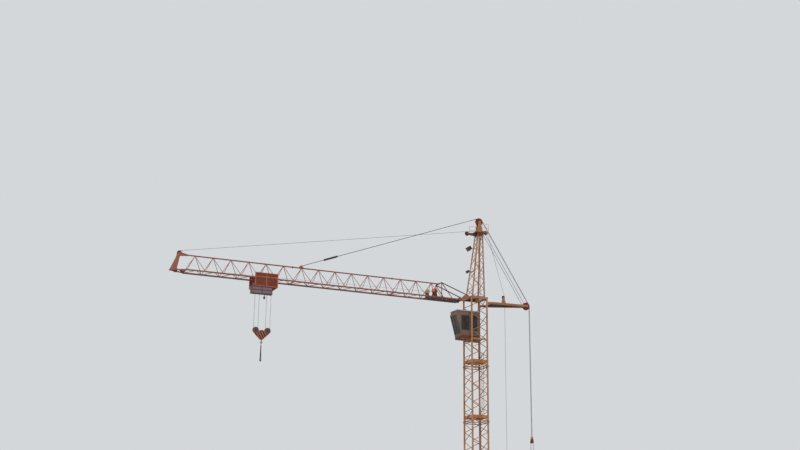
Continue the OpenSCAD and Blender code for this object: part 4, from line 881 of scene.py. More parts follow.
def jib_root():
    """Root part with hinge plates and pins, and the bars of its cross frame."""
    y, top_x, frame_x, frame_y = JIB_HALF, JIB_JOINTS[0], JIB_JOINTS[0] + 0.06, 0.64
    parts = jib_lattice(top_x, JIB_JOINTS[1], 3) + jib_chords(CHORD_START, top_x)
    parts += guide_bracket(root_guide, lambda x: JIB_HALF)
    outline = arc(HINGE_X, HINGE_Z, 0.09, range(90, 271, 20)) + [
        (CHORD_START, JIB_Z - CHORD_HALF), (CHORD_START + 0.1, JIB_Z - CHORD_HALF),
        (CHORD_START + 0.3, JIB_Z), (HINGE_X + 0.5, HINGE_Z + 0.15), (HINGE_X + 0.2, HINGE_Z + 0.2),
        (HINGE_X + 0.05, HINGE_Z + 0.15)]
    parts += cheeks(outline, y, 0.0634, 0.006)
    bars = [((frame_x, -frame_y - 0.02, JIB_TOP_Z), (frame_x, frame_y + 0.02, JIB_TOP_Z), 0.055)]
    bars += [across(x, y, 0.036) for x in (CHORD_START + 0.15, top_x - 1.1)]
    for s in SIDES:
        parts.append(pin((HINGE_X, s * y, HINGE_Z), 0.045, 0.184))
        parts += [pin((HINGE_X, s * y + k * 0.084, HINGE_Z), 0.062, 0.016) for k in SIDES]
        bars += [((frame_x, s * frame_y, JIB_TOP_Z), (x, s * y, z), radius) for x, z, radius in (
            (HINGE_X + 0.06, HINGE_Z + 0.142, 0.05), (frame_x, JIB_Z, 0.04), (top_x - 1.1, JIB_Z, 0.036))]
    return parts, [tubes(bars, 4)]


def jib_middle():
    """Middle part with the pendants' lug on its top chord."""
    (x, _, z), base = lug, JIB_TOP_Z
    outline = [(x - 0.26, base), (x + 0.26, base), (x + 0.07, z + 0.04), (x + 0.03, z + 0.06),
               (x - 0.03, z + 0.06), (x - 0.07, z + 0.04)]
    return (jib_lattice(*JIB_JOINTS[1:3], 6) + cheeks(outline, LUFF_Y + 0.04, 0.02, 0.003)
            + [hoop(0.031, 0.055, 0.032, (x, s * (LUFF_Y + 0.04), z)) for s in SIDES]
            + [rod((x, -0.11, base), (x, 0.11, base), 0.055, 20)])


def tip_half(x):
    return JIB_HALF - (JIB_HALF - NOSE_HALF) * (x - TIP_START) / TIP_LENGTH


def jib_end():
    """Outer part with the pointed nose, its two plates and the end stops of the rails."""
    end, y = JIB_JOINTS[3], JIB_HALF
    (ax, az, _), (bx, bz, _) = tip_sheave, low_sheave
    outline = [(end - 0.3, JIB_TOP_Z + 0.04), (ax - 0.1, az + 0.09), (ax + 0.02, az + 0.10),
               (ax + 0.09, az + 0.06), (bx + 0.5, JIB_Z + 0.06), (bx + 0.52, JIB_Z - 0.06),
               (bx + 0.08, bz - 0.06), (bx - 0.08, bz - 0.06), (bx - 0.12, bz + 0.06),
               (ax - 0.06, az - 0.26), (end - 0.3, JIB_TOP_Z - 0.06)]
    nose = [((TIP_START, s * y, JIB_Z), (TIP_START + TIP_LENGTH, s * NOSE_HALF, JIB_Z), 0.05) for s in SIDES]
    return (jib_lattice(JIB_JOINTS[2], end, 6) + cheeks(outline, 0.055, 0.02, 0.003)
            + [pin(at(stop, s * 0.072), 0.06, 0.014) for stop in (tip_sheave, low_sheave) for s in SIDES]
            + both((end - 0.04, y + 0.058, JIB_Z - 0.06), (end, y + 0.13, JIB_Z + 0.06))
            + [tubes(nose, 4)] + guide_bracket(tip_guide, tip_half))


# The root's cross frame takes the darker copy of the jib's paint, as painted shade.
root_parts, root_frame = jib_root()
fit("jib_root_lattice", root_parts, "coral", "jib_root")
fit("jib_root_frame", root_frame, "shade_brown_red", "jib_root")
fit("jib_middle_lattice", jib_middle(), "coral", "jib_middle")
fit("jib_end_lattice", jib_end(), "coral", "jib_end")
fit("jib_joint_bolts", jib_bolts(), "dark_steel")

# ---- Cab section and tower head ----
CAB_Z, CAB_BACK, CAB_NOSE, CAB_HALF = 22.0403, 1.37, 3.87, 0.70
CAB_LEAN, CAB_H, WINDOW_TOP = 0.58, 2.58, 2.064
WALL_Z, CAB_FRONT = CAB_Z + 0.0603, CAB_NOSE - CAB_LEAN
FRONT, BACK = TOWER_X + TOWER_HALF, TOWER_X - TOWER_HALF
LAMPS = ((5.05, 0.68, 0.32, 0.54, 0.38), (2.65, 0.51, 0.19, 0.38, 0.23))


def lugs(x, y, z, root_x):
    """Two plates with a rounded eye on each side, for a hinge pin."""
    turn = 1 if x > root_x else -1
    eye = [(x + turn * dx, z + dz) for dx, dz in arc(0, 0, 0.095, range(-90, 91, 15))]
    outline = eye + [(root_x, z + 0.095), (root_x, z - 0.095)]
    return [part for s in SIDES for part in cheeks(outline, 0.047, 0.03, 0.003, s * y)]


def cab_section():
    """Tower section with the cab's beams in its open front, and the jib's and the strut's lugs."""
    low, high, h, under = SECTION_FEET[2], SECTION_FEET[3], TOWER_HALF, CAB_Z - 0.16
    parts = tower_section(low, high, 4, True)
    parts += [upright(TOWER_X + s * h, 0, high - 0.2, high - 0.02, 0.07, 0.01, h) for s in SIDES]
    parts += [upright(x, 0, under - 0.003, CAB_Z - 0.003, 0.06, 0.006, h) for x in (FRONT, CAB_BACK - 0.06)]
    parts += both((BACK - 0.072, 0.56, high - 0.202), (FRONT + 0.072, h + 0.072, high + 0.002), 0.012)
    parts += both((BACK, h - 0.04, under), (FRONT, h + 0.04, CAB_Z), 0.006)
    parts += both((CAB_BACK - 0.06, 0.4, under), (CAB_FRONT - 0.03, 0.48, CAB_Z), 0.006)
    ends = [(FRONT, y, z) for z in (low + 0.11, under - 0.25) for y in (-h, h)]
    parts.append(tubes([(*ends[:2], 0.04), (*ends[2:], 0.04)] + zigzag(*ends, 1, 0.032)))
    return parts + lugs(HINGE_X, JIB_HALF, HINGE_Z, FRONT) + lugs(BACK - 0.19, TOWER_HALF, JIB_Z - 0.06, BACK)


def head_place(share, sx, sy):
    """A point on the head's chord lines: share 0 at the foot, 1 at the top."""
    foot = Vector((TOWER_X + sx * HEAD_FOOT_HALF, sy * HEAD_FOOT_HALF, SECTION_FEET[3]))
    return foot.lerp(Vector((HEAD_X + sx * HEAD_TOP_HALF, sy * HEAD_TOP_HALF, HEAD_TOP)), share)


def tower_head():
    """Tapered chords, tube lacing, the cap plate and the sheave cheeks; the front bracket's arms."""
    foot_z, edge, cross, parts = SECTION_FEET[3], 0.09 / HEAD_H, 1 - 0.37 / HEAD_H, []
    bars = [(head_place(cross, 1, -1), head_place(cross, 1, 1), 0.036)]
    for one, other in zip(CORNERS, CORNERS[1:] + CORNERS[:1]):
        foot = head_place(0, *one)
        parts.append(flat(foot, head_place(1 - 0.059 / HEAD_H, *one), 0.12, 0.12, 0.012))
        parts.append(upright(foot.x, foot.y, foot_z, foot_z + 0.02, 0.115, 0.003))
        ends = [head_place(share, *corner) for share in (edge, 1 - edge) for corner in (one, other)]
        bars += [(*ends[:2], 0.038)] + zigzag(*ends, 4, 0.028)
    for level, *_ in LAMPS:
        a, b = head_place(level / HEAD_H, 1, -1), head_place(level / HEAD_H, 1, 1)
        parts.append(block((a.x - 0.03, a.y, a.z + 0.03), (b.x + 0.03, b.y, b.z + 0.09), 0.005))
    parts.append(upright(HEAD_X, 0, HEAD_TOP - 0.06, HEAD_TOP, HEAD_TOP_HALF + 0.07, 0.006))
    (x, z, _), axle, top = rear_sheave, head_sheave[1], HEAD_TOP
    parts += cheeks([
        (HEAD_X - 0.3, top - 0.03), (HEAD_X + 0.3, top - 0.03), (HEAD_X + 0.28, top + 0.26),
        (HEAD_X + 0.11, axle + 0.03), (HEAD_X + 0.06, axle + 0.06), (HEAD_X - 0.06, axle + 0.06),
        (HEAD_X - 0.11, axle + 0.03), (HEAD_X - 0.28, z + 0.18), (x - 0.06, z + 0.07), (x - 0.08, z),
        (x - 0.04, z - 0.07)], 0.165, 0.03, 0.005)
    parts += [pin(at(stop, s * 0.19), r, 0.02) for s in SIDES
              for stop, r in ((head_sheave, 0.10), (rear_sheave, 0.075))]
    (x, z, _), root = front_sheave, HEAD_X + HEAD_TOP_HALF
    arms = cheeks([
        (root - 0.01, top - 0.05), (root + 0.06, top - 0.05), (root + 0.06, top - 0.07),
        (root + 0.42, top - 0.07), (x + 0.05, z + 0.07), (x + 0.08, z), (x + 0.04, z - 0.07),
        (root + 0.09, z - 0.19), (root - 0.01, z - 0.19)], 0.055, 0.02, 0.003)
    return parts + [tubes(bars)], arms


fit("cab_section_lattice", cab_section(), "ochre", "cab_section")
head_parts, head_arms = tower_head()
fit("head_lattice", head_parts, "ochre", "tower_head")
# The front bracket, ochre in the record, takes the darker paint as painted shade.
fit("head_front_bracket", head_arms, "shade_brown_red", "tower_head", slot="ochre_paint")
fit("head_joint_bolts", flange_bolts(SECTION_FEET[3], HEAD_FOOT_HALF), "dark_steel")


# ---- Cab, measured from the foot of its walls ----
def opening_frame(axis, face, low, high, wide):
    """Four bars round an opening in the wall across the x or y axis."""
    (a1, b1), (a2, b2), lap = low, high, 0.001
    spans = [(a1 - wide, b1 - wide, a1, b2 + wide), (a2, b1 - wide, a2 + wide, b2 + wide),
             (a1 - lap, b1 - wide, a2 + lap, b1), (a1 - lap, b2, a2 + lap, b2 + wide)]
    if axis == "y":
        return [block((a, face, b), (c, face + 0.014, d), 0.003) for a, b, c, d in spans]
    return [block((face, a, b), (face + 0.014, c, d), 0.003) for a, b, c, d in spans]


def cab_trim():
    """Door frame, rubber-edged window frames, mullions and wipers."""
    def nose(z, out=0.006):
        return CAB_NOSE - CAB_LEAN * (1 - z / (0.83 * CAB_H)) + out

    sill, parts = 0.7, opening_frame("x", CAB_BACK - 0.012, (-0.33, 0.06), (0.33, 1.96), 0.04)
    for y in (-CAB_HALF - 0.012, CAB_HALF - 0.002):
        for x1, x2 in ((1.62, 2.27), (2.50, CAB_FRONT - 0.03)):
            parts += opening_frame("y", y, (x1, sill), (x2, WINDOW_TOP), 0.035)
        parts.append(block((2.87, y, sill), (2.90, y + 0.014, WINDOW_TOP), 0.003))
    for y in (-0.585, 0.0, 0.585):
        parts.append(flat((nose(0.34), y, 0.34), (nose(WINDOW_TOP), y, WINDOW_TOP), 0.03, 0.016, 0.003))
    for z in (0.335, 0.95, WINDOW_TOP + 0.01):
        parts.append(rod((nose(z), -0.6, z), (nose(z), 0.6, z), 0.016, 8))
    for y in (-0.3, 0.3):
        parts.append(rod((nose(0.38, 0.022), y - 0.1, 0.38), (nose(0.85, 0.022), y + 0.12, 0.85), 0.007, 8))
    return parts


def cab_skirt():
    """Floor pan with edge angles and ribs below."""
    end = CAB_FRONT + 0.01
    low, high = (CAB_BACK - 0.004, CAB_HALF + 0.002, CAB_Z - 0.09), (end, CAB_HALF + 0.028, CAB_Z + 0.16)
    ribs = [block((x, -CAB_HALF, CAB_Z - 0.07), (x + 0.05, CAB_HALF, CAB_Z + 0.01), 0.003)
            for x in (1.5, 1.9, 2.35, 2.8, end - 0.06)]
    return [reworked("cab_floor", 0.006)] + both(low, high, 0.003) + ribs


def seat_and_desk():
    """Operator's seat and two control desks with levers, seen through the glass."""
    seat = (((2.45, -0.2, 0), (2.75, 0.2, 0.3), 0.02), ((2.35, -0.26, 0.3), (2.87, 0.26, 0.45), 0.05),
            ((2.28, -0.25, 0.42), (2.40, 0.25, 1.05), 0.05))
    levers = [rod((3.0, s * 0.42, 0.6), (3.03, s * 0.42, 0.78), 0.012, 10) for s in SIDES]
    return [block(*sizes) for sizes in seat] + both((2.5, 0.32, 0.1), (3.2, 0.52, 0.62), 0.02) + levers


def roof_and_rails():
    """Walls and roof with their seams, and grab rails beside the door."""
    roof, grab = WALL_Z + CAB_H + 0.04, ((1.37, 0.8), (1.30, 0.83), (1.30, 1.5), (1.37, 1.53))
    parts = [reworked("cab_shell", 0.012, 2)]
    parts += [block((x, -0.73, roof - 0.002), (x + 0.03, 0.73, roof + 0.014)) for x in (1.7, 2.3, 2.9, 3.5)]
    parts += [swept([(x, s * 0.5, WALL_Z + z) for x, z in grab], 0.014) for s in SIDES]
    for x in (2.38, 3.15):
        parts += both((x, CAB_HALF - 0.002, WALL_Z + 0.2), (x + 0.02, CAB_HALF + 0.006, WALL_Z + 0.64), 0.002)
    return parts


def roof_gutter():
    """Pale rain gutter along the roof's sides and above the windscreen."""
    low, high, side, front = CAB_H - 0.05, CAB_H + 0.02, CAB_HALF + 0.038, CAB_NOSE - 0.082
    return (both((CAB_BACK - 0.03, side, low), (front + 0.024, side + 0.024, high), 0.006)
            + [block((front, -side, low), (front + 0.024, side, high), 0.006)])


def lamps():
    """Floodlight housings with fins, rims and knobs, on their arms; and their panes."""
    shells, panes = [], []
    for level, reach, deep, wide, tall in LAMPS:
        face = head_place(level / HEAD_H, 1, 0)
        moves = Matrix.Translation((face.x + reach, 0, face.z)), Matrix.Rotation(radians(35), 4, "Y")
        back, front, y, z = -0.6 * deep, 0.4 * deep, wide / 2, tall / 2
        shells.append(rod((face.x + 0.03, 0, face.z + 0.06), (face.x + reach + back / 2, 0, face.z + 0.06),
                          0.018))
        parts = [block((back, -y, -z), (front, y, z), 0.02)]
        parts += [block((back - 0.012, k * y / 4 - 0.004, 0.02 - z),
                        (back + 0.01, k * y / 4 + 0.004, z - 0.02), 0.001)
                  for k in range(-3, 4)]
        parts += [block((front - 0.004, -y - 0.02, s * z - 0.02), (front + 0.03, y + 0.02, s * z + 0.02))
                  for s in SIDES]
        parts += both((front - 0.004, y - 0.02, 0.021 - z), (front + 0.03, y + 0.02, z - 0.021))
        parts += [pin((0, s * (y + 0.008), 0), 0.035, 0.024) for s in SIDES]
        shells += [placed(part, *moves) for part in parts]
        pane = block((front - 0.002, 0.02 - y, 0.02 - z), (front + 0.012, y - 0.02, z - 0.02), 0.002)
        panes.append(placed(pane, *moves))
    return shells, panes


WALL_FOOT = (0, 0, WALL_Z)
fit("cab_walls", roof_and_rails(), "cab_enamel", "cab_shell")
fit("roof_gutter", roof_gutter(), "cabinet_grey", at=WALL_FOOT)
fit("cab_trim", cab_trim(), "rubber_black", at=WALL_FOOT)
fit("cab_skirt", cab_skirt(), "brown_floor_shade", "cab_floor")
fit("seat_and_desk", seat_and_desk(), "dark_frame", at=(0, 0, WALL_Z + 0.02))
lamp_shells, lamp_panes = lamps()
fit("lamp_shells", lamp_shells, "lamp_shell", "floodlights")
fit("lamp_panes", lamp_panes, "lamp_glass", "floodlights")


# ---- Undercarriage, turntable and plate work ----
def wheels():
    """Flanged travel wheels with dished webs on their axles."""
    side = [(0.045, 0.06), (0.10, 0.06), (0.11, 0.03), (0.22, 0.025), (0.235, 0.075), (0.308, 0.075),
            (0.304, 0.052), (0.28, 0.046)]
    wheel = turned([(r, -y) for r, y in side] + side[::-1], steps=48)
    return [copies(pattern, shifts(WHEEL_PLACES)) for pattern in (wheel, pin((0, 0, 0), 0.045, 0.28))]


WHEEL_PLACES = [(sx * WHEEL_AT + s * WHEEL_GAP, sy * WHEEL_AT, RAIL_TOP + 0.28) for sx, sy in CORNERS
                for s in SIDES]
fit("travel_wheel_set", wheels(), "tread_steel", "travel_wheels", body="undercarriage")
for node, edge, finish in (("ring_frame", 0.015, "ochre"), ("outrigger_legs", 0.02, "ochre"),
                           ("bogie_frames", 0.008, "ochre")):
    fit(node + "_plates", [reworked(node, edge)], finish, node, body="undercarriage")
for node, edge, finish in (
        ("turntable", 0.006, "ochre"), ("counterweights", 0.014, "cast_concrete"), ("portal", 0.012, "ochre"),
        ("strut", 0.010, "brown_ochre"), ("tackle_block", 0.004, "maroon"),
        ("landings", 0.003, "landing_steel"), ("head_platform", 0.003, "deep_ochre")):
    fit(node + "_plates", [reworked(node, edge)], finish, node)


def walkways():
    """Floors at the jib's root round the rope sheave, and in the tower's front half at jib level; their dark
    brown is painted shade under the jib and inside the tower.
    """
    level, start, end, inner = JIB_Z - 0.05, CHORD_START + 0.12, 6.9, JIB_HALF - 0.06
    parts = [block((x1, y1, level), (x2, y2, level + 0.006), 0.001) for x1, x2, y1, y2 in (
        (start, end, -inner, 0.03), (start, end, 0.27, inner), (start, 4.66, 0.03, 0.27),
        (5.14, end, 0.03, 0.27))]
    parts += [block((x, y1, level - 0.035), (x + 0.03, y2, level), 0.002)
              for x in (start + 0.1 + k * 0.5 for k in range(8))
              for y1, y2 in ((-inner, -0.03), (0.27, inner))]
    level, half = SECTION_FEET[3] - 0.19, TOWER_HALF - 0.07
    parts.append(block((1.38, -half, level), (FRONT - 0.07, half, level + 0.006), 0.001))
    parts += [block((x, -half, level - 0.06), (x + 0.03, half, level), 0.002) for x in (1.38, 1.75, 2.12)]
    return parts + [block((1.41, y - 0.015, level - 0.05), (2.12, y + 0.015, level - 0.002), 0.002)
                    for y in (-0.4, 0, 0.4)]


def rope_anchor():
    """Cheeks, pin and socket that hold the hoist rope's fixed end at the jib's root."""
    x, z, top = CHORD_START + 0.15, ROPE_LINE_Z, JIB_Z - 0.03
    outline = [(x - 0.09, top), (x + 0.09, top), (x + 0.05, z - 0.03), (x + 0.02, z - 0.05),
               (x - 0.02, z - 0.05), (x - 0.05, z - 0.03)]
    socket = [(0.002, -0.03), (0.028, -0.03), (0.032, 0.02), (0.018, 0.16), (0.002, 0.16)]
    return cheeks(outline, 0.036, 0.012, 0.002) + [pin((x, 0, z), 0.02, 0.11),
                                                   turned(socket, (x, 0, z), "x", 20)]


def strut_shade_tray():
    """Ribbed floor plates between the strut's legs, with a slot for the hoist rope; their dark brown is
    painted shade between the legs.
    """
    root, tip, parts = 0.03, -3.95, []
    slope = (JIB_Z - 0.06 - strut_sheave[1]) / (root + 4.53)
    for s in SIDES:
        outline = [(root, s * 0.06), (root, s * 0.76), (tip, s * 0.20), (tip, s * 0.06)]
        parts.append(plate(outline, -0.063, 0.006, 0.001, "z"))
    for x in (root - 0.25 - k * 0.44 for k in range(9)):
        reach = 0.20 + 0.56 * (x - tip) / (root - tip)
        parts += both((x - 0.02, 0.08, -0.10), (x + 0.02, reach, -0.066), 0.002)
    parts += both((tip, 0.06, -0.10), (root, 0.08, -0.02), 0.002)
    lean = Matrix(((1, 0, 0, 0), (0, 1, 0, 0), (slope, 0, 1, JIB_Z - 0.06 - slope * root), (0, 0, 0, 1)))
    return [placed(joined(parts), lean)]


def under_bolts():
    """Bolts of the slewing race, of the wheels' axle caps and of the legs' flanges."""
    parts = [bolts([(x, y, 0.611) for x, y in arc(0, 0, 1.16, (7.5 * k for k in range(48)))], 0.016)]
    caps = [(x + dx, y, z + dz) for x, y, z in WHEEL_PLACES for dx in (-0.08, 0.08) for dz in (-0.05, 0.05)]
    parts += [bolts([(x, y + out, z) for x, y, z in caps], 0.012, turn)
              for out, turn in ((0.125, FACE_Y), (-0.125, FACE_BACK_Y))]
    for x, y in ((sx * WHEEL_AT, sy * WHEEL_AT) for sx, sy in CORNERS):
        parts.append(pin((x, y, 0.49), 0.19, 0.03, "z", 32))
        parts.append(bolts([(*place, 0.505) for place in arc(x, y, 0.15, range(0, 360, 60))], 0.014))
    return parts


def lifting_loops():
    """Round lifting eyes on the top slab of each ballast stack."""
    top, loop = FLOOR_Z + 7 * 0.3003, arc(0, 0, 1, range(-50, 231, 20))
    return [swept([(x, s * y + 0.06 * a, top + 0.05 + 0.05 * b) for a, b in loop], 0.012)
            for s in SIDES for x in (-4.2, -3.6) for y in (0.55, 1.25)]


fit("walkway_floors", walkways(), "brown_floor_shade")
fit("rope_anchor", rope_anchor(), "dark_steel")
fit("strut_shade_tray", strut_shade_tray(), "brown_floor_shade")
fit("undercarriage_bolts", under_bolts(), "dark_steel", body="undercarriage")
fit("ballast_eyes", lifting_loops(), "dark_steel")


# ---- Winches, slewing drive, cabinet, railing and ladders ----
def drum_with_rope(stop, length):
    """A drum with ribbed rims on its shaft; and its turns of rope laid side by side."""
    radius, pitch, centre = stop[2], 2.15 * ROPE_R, at(stop)
    drum = [hoop(0.05, radius - ROPE_R, length, centre, steps=48), pin(centre, 0.05, length + 0.2394)]
    for s in SIDES:
        hub = at(stop, s * (length / 2 + 0.03))
        drum += [hoop(0.05, radius + 0.09, 0.024, at(stop, s * length / 2), steps=48),
                 hoop(0.05, 0.11, 0.06, hub, steps=32)]
        drum += [placed(block((0.10, -0.02, -0.008), (radius + 0.06, 0.02, 0.008), 0.002),
                        Matrix.Translation(hub), Matrix.Rotation(pi * k / 3, 4, "Y")) for k in range(6)]
    coil = turned([(radius - ROPE_R + 0.001 + a, b) for a, b in arc(0, 0, ROPE_R, range(0, 360, 45))], centre)
    turns = [k * pitch for k in range(int(length * 0.94 / pitch))]
    return drum, copies(coil, shifts((0, y - length * 0.47, 0) for y in turns
                                     if not length * 0.48 < y < length * 0.52))


def motor(centre, radius, length, axis="y"):
    """A finned electric motor with a fan cowl."""
    lay = Matrix.Rotation(pi / 2, 4, "X") if axis == "z" else Matrix.Identity(4)
    cowl = Vector(centre) + Vector((0, 0, 1) if axis == "z" else (0, 1, 0)) * length * 0.41
    return [pin(centre, radius * 0.9, length, axis, 32), pin(cowl, radius, length * 0.2, axis, 32)] + [
        placed(block((radius * 0.86, -length * 0.36, -0.004), (radius, length * 0.28, 0.004), 0.001),
               Matrix.Translation(centre), lay, Matrix.Rotation(pi * k / 8, 4, "Y")) for k in range(16)]


def winch_stands():
    """Both winches' stands, bearings, gearbox covers and motors."""
    parts = [reworked("winch_frames", 0.010)]
    for (x, z, _), length, side in ((hoist_drum, HOIST_DRUM_L, 1), (luff_drum, LUFF_DRUM_L, -1)):
        stand = length / 2 + 0.12
        face = side * (stand + 0.34)
        parts += motor((x - 0.56, side * (stand - 0.09), z - 0.03), 0.15, 0.42)
        parts += [pin((x, s * (stand + 0.04), z), 0.085, 0.10, steps=32) for s in SIDES]
        parts.append(pin((x - 0.04, face, z), 0.12, 0.024, steps=32))
        places = [(x - 0.04 + dx, face, z + dz) for dx in (-0.17, 0.17) for dz in (-0.3, -0.05, 0.12)]
        parts.append(bolts(places, 0.012, FACE_Y if side > 0 else FACE_BACK_Y))
    return parts


def slew_unit():
    """Pinion with teeth, planetary gearbox with ring flanges, and a finned motor, round their shaft."""
    gearbox = [(0.002, 0), (0.2, 0), (0.2, 0.03), (0.17, 0.04), (0.17, 0.18), (0.2, 0.19), (0.2, 0.23),
               (0.165, 0.25), (0.165, 0.36), (0.15, 0.38), (0.15, 0.44), (0.002, 0.44)]
    mesh_z, flange = 0.565, arc(0, 0, 0.185, range(0, 360, 36))
    parts = [pin((0, 0, 0.83), 0.06, 0.57, "z"), pin((0, 0, mesh_z), 0.112, 0.08, "z", 32),
             turned(gearbox, (0, 0, FLOOR_Z), "z"), bolts([(*place, FLOOR_Z + 0.23) for place in flange],
                                                          0.010)]
    parts += [placed(block((0.10, -0.012, -0.04), (0.128, 0.012, 0.04), 0.003),
                     Matrix.Translation((0, 0, mesh_z)), Matrix.Rotation(pi * k / 6, 4, "Z"))
                     for k in range(12)]
    return parts + motor((0, 0, FLOOR_Z + 0.65), 0.135, 0.42, "z")


def cabinet():
    """Cabinet with two doors, hinges, handles, louvres and a rain roof, from its lower left corner."""
    face, parts = 1.35, [block((0, 0.8, 0), (0.74, 1.35, 1.6), 0.008),
                         block((-0.03, 0.77, 1.6), (0.77, 1.38, 1.64), 0.012)]
    for x, handle, hinge in ((0.02, 0.325, 0.03), (0.375, 0.395, 0.71)):
        parts.append(block((x, face - 0.002, 0.06), (x + 0.345, face + 0.012, 1.55), 0.006))
        parts.append(block((handle, face + 0.01, 0.75), (handle + 0.02, face + 0.03, 0.95)))
        parts += [block((x + 0.05, face + 0.006, z), (x + 0.295, face + 0.02, z + 0.015))
                  for z in (0.15 + n * 0.05 for n in range(6))]
        parts += [rod((hinge, face + 0.014, z), (hinge, face + 0.014, z + 0.08), 0.009, 10)
                  for z in (0.25, 0.8, 1.35)]
    return parts


def railing():
    """Posts and two rails on each side of the deck."""
    side, bars = 1.46, []
    for s in SIDES:
        bars += [((k - 3.25, s * side, 0), (k - 3.25, s * side, 1.07), 0.022) for k in range(4)]
        bars += [((-3.28, s * side, z), (-0.22, s * side, z), 0.018) for z in (0.55, 1.05)]
    return [tubes(bars, 4)]


def ladder_flights():
    """Ladder flights between the landings and up the head, with round rungs."""
    feet = (FLOOR_Z, *(level + 0.0083 for level in LANDINGS))
    tops = (*(level + 0.9 for level in LANDINGS), SECTION_FEET[3] + 0.3)
    back, bars = TOWER_X - HEAD_FOOT_HALF + 0.095, []
    flights = [(low, high, y, back, 0.19) for low, high, y in zip(feet, tops, (0.315, -0.315, 0.315, -0.315))]
    for low, high, y, x, half in flights + [(SECTION_FEET[3] + 0.3003, HEAD_TOP - 0.0603, 0, HEAD_X, 0.15)]:
        bars += [((x, y + s * half, low), (x, y + s * half, high), 0.022) for s in SIDES]
        bars += [((x, y - half, low + 0.25 + k * 0.3), (x, y + half, low + 0.25 + k * 0.3), 0.011)
                 for k in range(int((high - low - 0.2) / 0.3))]
    return [tubes(bars)]


def travel_winch():
    """Trolley winch, from the top of the jib's chords: grooved drum; stands and beams; motor and gearbox."""
    r, z, far, high = winch_drum[2], winch_drum[1] - WINCH_FOOT[2], 0.80, 0.52
    groove = [place for y in (0.02 * k - 0.17 for k in range(17))
              for place in ((r - 0.008, y), (r - 0.018, y + 0.01))]
    profile = [(0.035, -0.19), (r - 0.008, -0.19)] + groove + [(r - 0.008, 0.19), (0.035, 0.19)]
    drum = [turned(profile, (0, 0, z))] + [hoop(0.035, r + 0.05, 0.02, (0, s * 0.19, z)) for s in SIDES]
    stands = cheeks([(-0.215, 0.06), (0.215, 0.06), (0.06, z + 0.06), (-0.06, z + 0.06)], 0.235, 0.02, 0.003)
    stands += [upright(s * 0.18, 0, 0, 0.07, 0.035, 0.005, JIB_HALF) for s in SIDES]
    stands += [bolts([(s * 0.18, k * 0.66, 0.07) for s in SIDES for k in SIDES], 0.012),
               pin((0, 0, z), 0.035, 0.5)]
    stands += cheeks([(far - 0.16, -0.104), (far + 0.16, -0.104), (far + 0.09, high - 0.06),
                      (far - 0.09, high - 0.06)],
                     0.15, 0.016, 0.002)
    drive = [block((0.12, -0.215, 0.06), (0.215, 0.215, 0.18), 0.012)]
    drive += [block((0.125, k * 0.04 - 0.004, 0.17), (0.21, k * 0.04 + 0.004, 0.19), 0.001)
              for k in range(-4, 5)]
    drive += motor((far, 0, high), 0.19, 0.5) + [rod((0.2, 0.11, 0.12), (far, 0.11, 0.12), 0.02)]
    return drum, stands, drive


HOIST_DRUM_L, LUFF_DRUM_L = 0.8, 0.7
drum_a, turns_a = drum_with_rope(hoist_drum, HOIST_DRUM_L)
drum_b, turns_b = drum_with_rope(luff_drum, LUFF_DRUM_L)
fit("winch_drum_set", drum_a + drum_b, "maroon", "winch_drums")
fit("rope_turns", [turns_a, turns_b], "greased_rope")
fit("winch_stands", winch_stands(), "machine_grey", "winch_frames")
fit("slewing_unit", slew_unit(), "machine_grey", "slewing_drive",
    at=(*arc(0, 0, RACE_R + 0.136, [218])[0], 0))
fit("electric_cabinet_doors", cabinet(), "cabinet_grey", "electric_cabinet", at=(-1.08, 0, FLOOR_Z))
fit("deck_railing_tubes", railing(), "ochre", "deck_railing", at=(0, 0, FLOOR_Z))
fit("ladder_flights", ladder_flights(), "deep_ochre", "ladders")
fit("trolley_roller_set", rollers(), "tread_steel", "trolley_wheels", body="trolley", at=TROLLEY)
WINCH_FOOT = (winch_drum[0], 0, JIB_Z + 0.06)
# The winch stands take the darker copy of the trolley paint, as painted shade under the drum.
for name, parts, finish in zip(("drum", "stands", "drive"), travel_winch(),
                               ("bright_orange", "shade_dark_red", "yellow_green")):
    fit("trolley_winch_" + name, parts, finish, "trolley_winch", at=WINCH_FOOT)


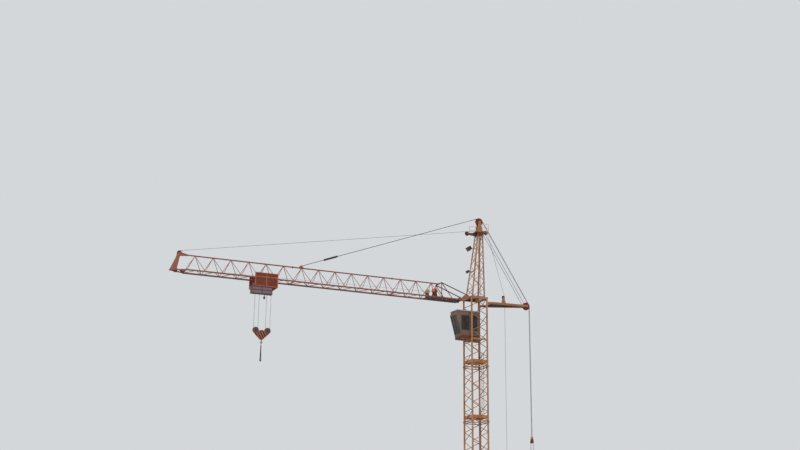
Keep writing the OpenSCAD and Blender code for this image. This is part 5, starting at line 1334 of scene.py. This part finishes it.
# ---- Lights, world, floor and camera ----
def lay_floor():
    take()
    bpy.ops.mesh.primitive_circle_add(vertices=96, radius=90, fill_type="NGON",
                                      location=(12, 0, cad_bounds[0][2] - 0.002))
    floor, f = settle("studio_floor"), Finish("pale_floor")
    colour = f.mix(f.spread(f.noise(0.3, 3), 0.3, 0.7), (0.70, 0.71, 0.72, 1), (0.73, 0.74, 0.75, 1))
    floor.data.materials.append(f.done(colour, 0.9))


def studio_light():
    """A soft pale world, seen as a plain backdrop, and one soft sun."""
    world = bpy.context.scene.world = bpy.data.worlds.new("studio")
    world.use_nodes = True
    tree = world.node_tree
    back = tree.nodes["Background"]
    back.inputs["Color"].default_value = (0.96, 0.98, 1.0, 1)
    back.inputs["Strength"].default_value = 0.72
    seen, rays, either, also, mix = (tree.nodes.new("ShaderNode" + kind) for kind in (
        "Background", "LightPath", "Math", "Math", "MixShader"))
    seen.inputs["Color"].default_value = (0.66, 0.68, 0.70, 1)
    either.operation = also.operation = "MAXIMUM"
    for source, target in (
            (rays.outputs["Is Camera Ray"], either.inputs[0]),
            (rays.outputs["Is Glossy Ray"], either.inputs[1]), (either.outputs[0], also.inputs[0]),
            (rays.outputs["Is Transmission Ray"], also.inputs[1]), (also.outputs[0], mix.inputs[0]),
            (back.outputs[0], mix.inputs[1]), (seen.outputs[0], mix.inputs[2]),
            (mix.outputs[0], tree.nodes["World Output"].inputs["Surface"])):
        tree.links.new(source, target)
    sun = bpy.data.lights.new("soft_key", "SUN")
    sun.energy, sun.angle = 1.1, radians(14)
    added("soft_key", sun).rotation_euler = Vector((0.62, 0.42, 0.66)).to_track_quat("Z", "Y").to_euler()


def photo_camera():
    """The camera's place, turn and lens, matched to the photograph."""
    eye, quarter = (55.75, 102.2, 0.5), pi / 2
    yaw, pitch, roll = (radians(a) for a in (-114.254, 16.05, -0.545))
    data = bpy.data.cameras.new("photo_camera")
    data.lens, data.sensor_width, data.clip_end = 53.28, 36, 1000
    camera = bpy.context.scene.camera = added("photo_camera", data)
    camera.matrix_world = (Matrix.Translation(eye) @ Matrix.Rotation(yaw - quarter, 4, "Z")
                           @ Matrix.Rotation(quarter + pitch, 4, "X") @ Matrix.Rotation(-roll, 4, "Z"))


lay_floor()
studio_light()
photo_camera()
bpy.context.scene.view_settings.view_transform = "Standard"
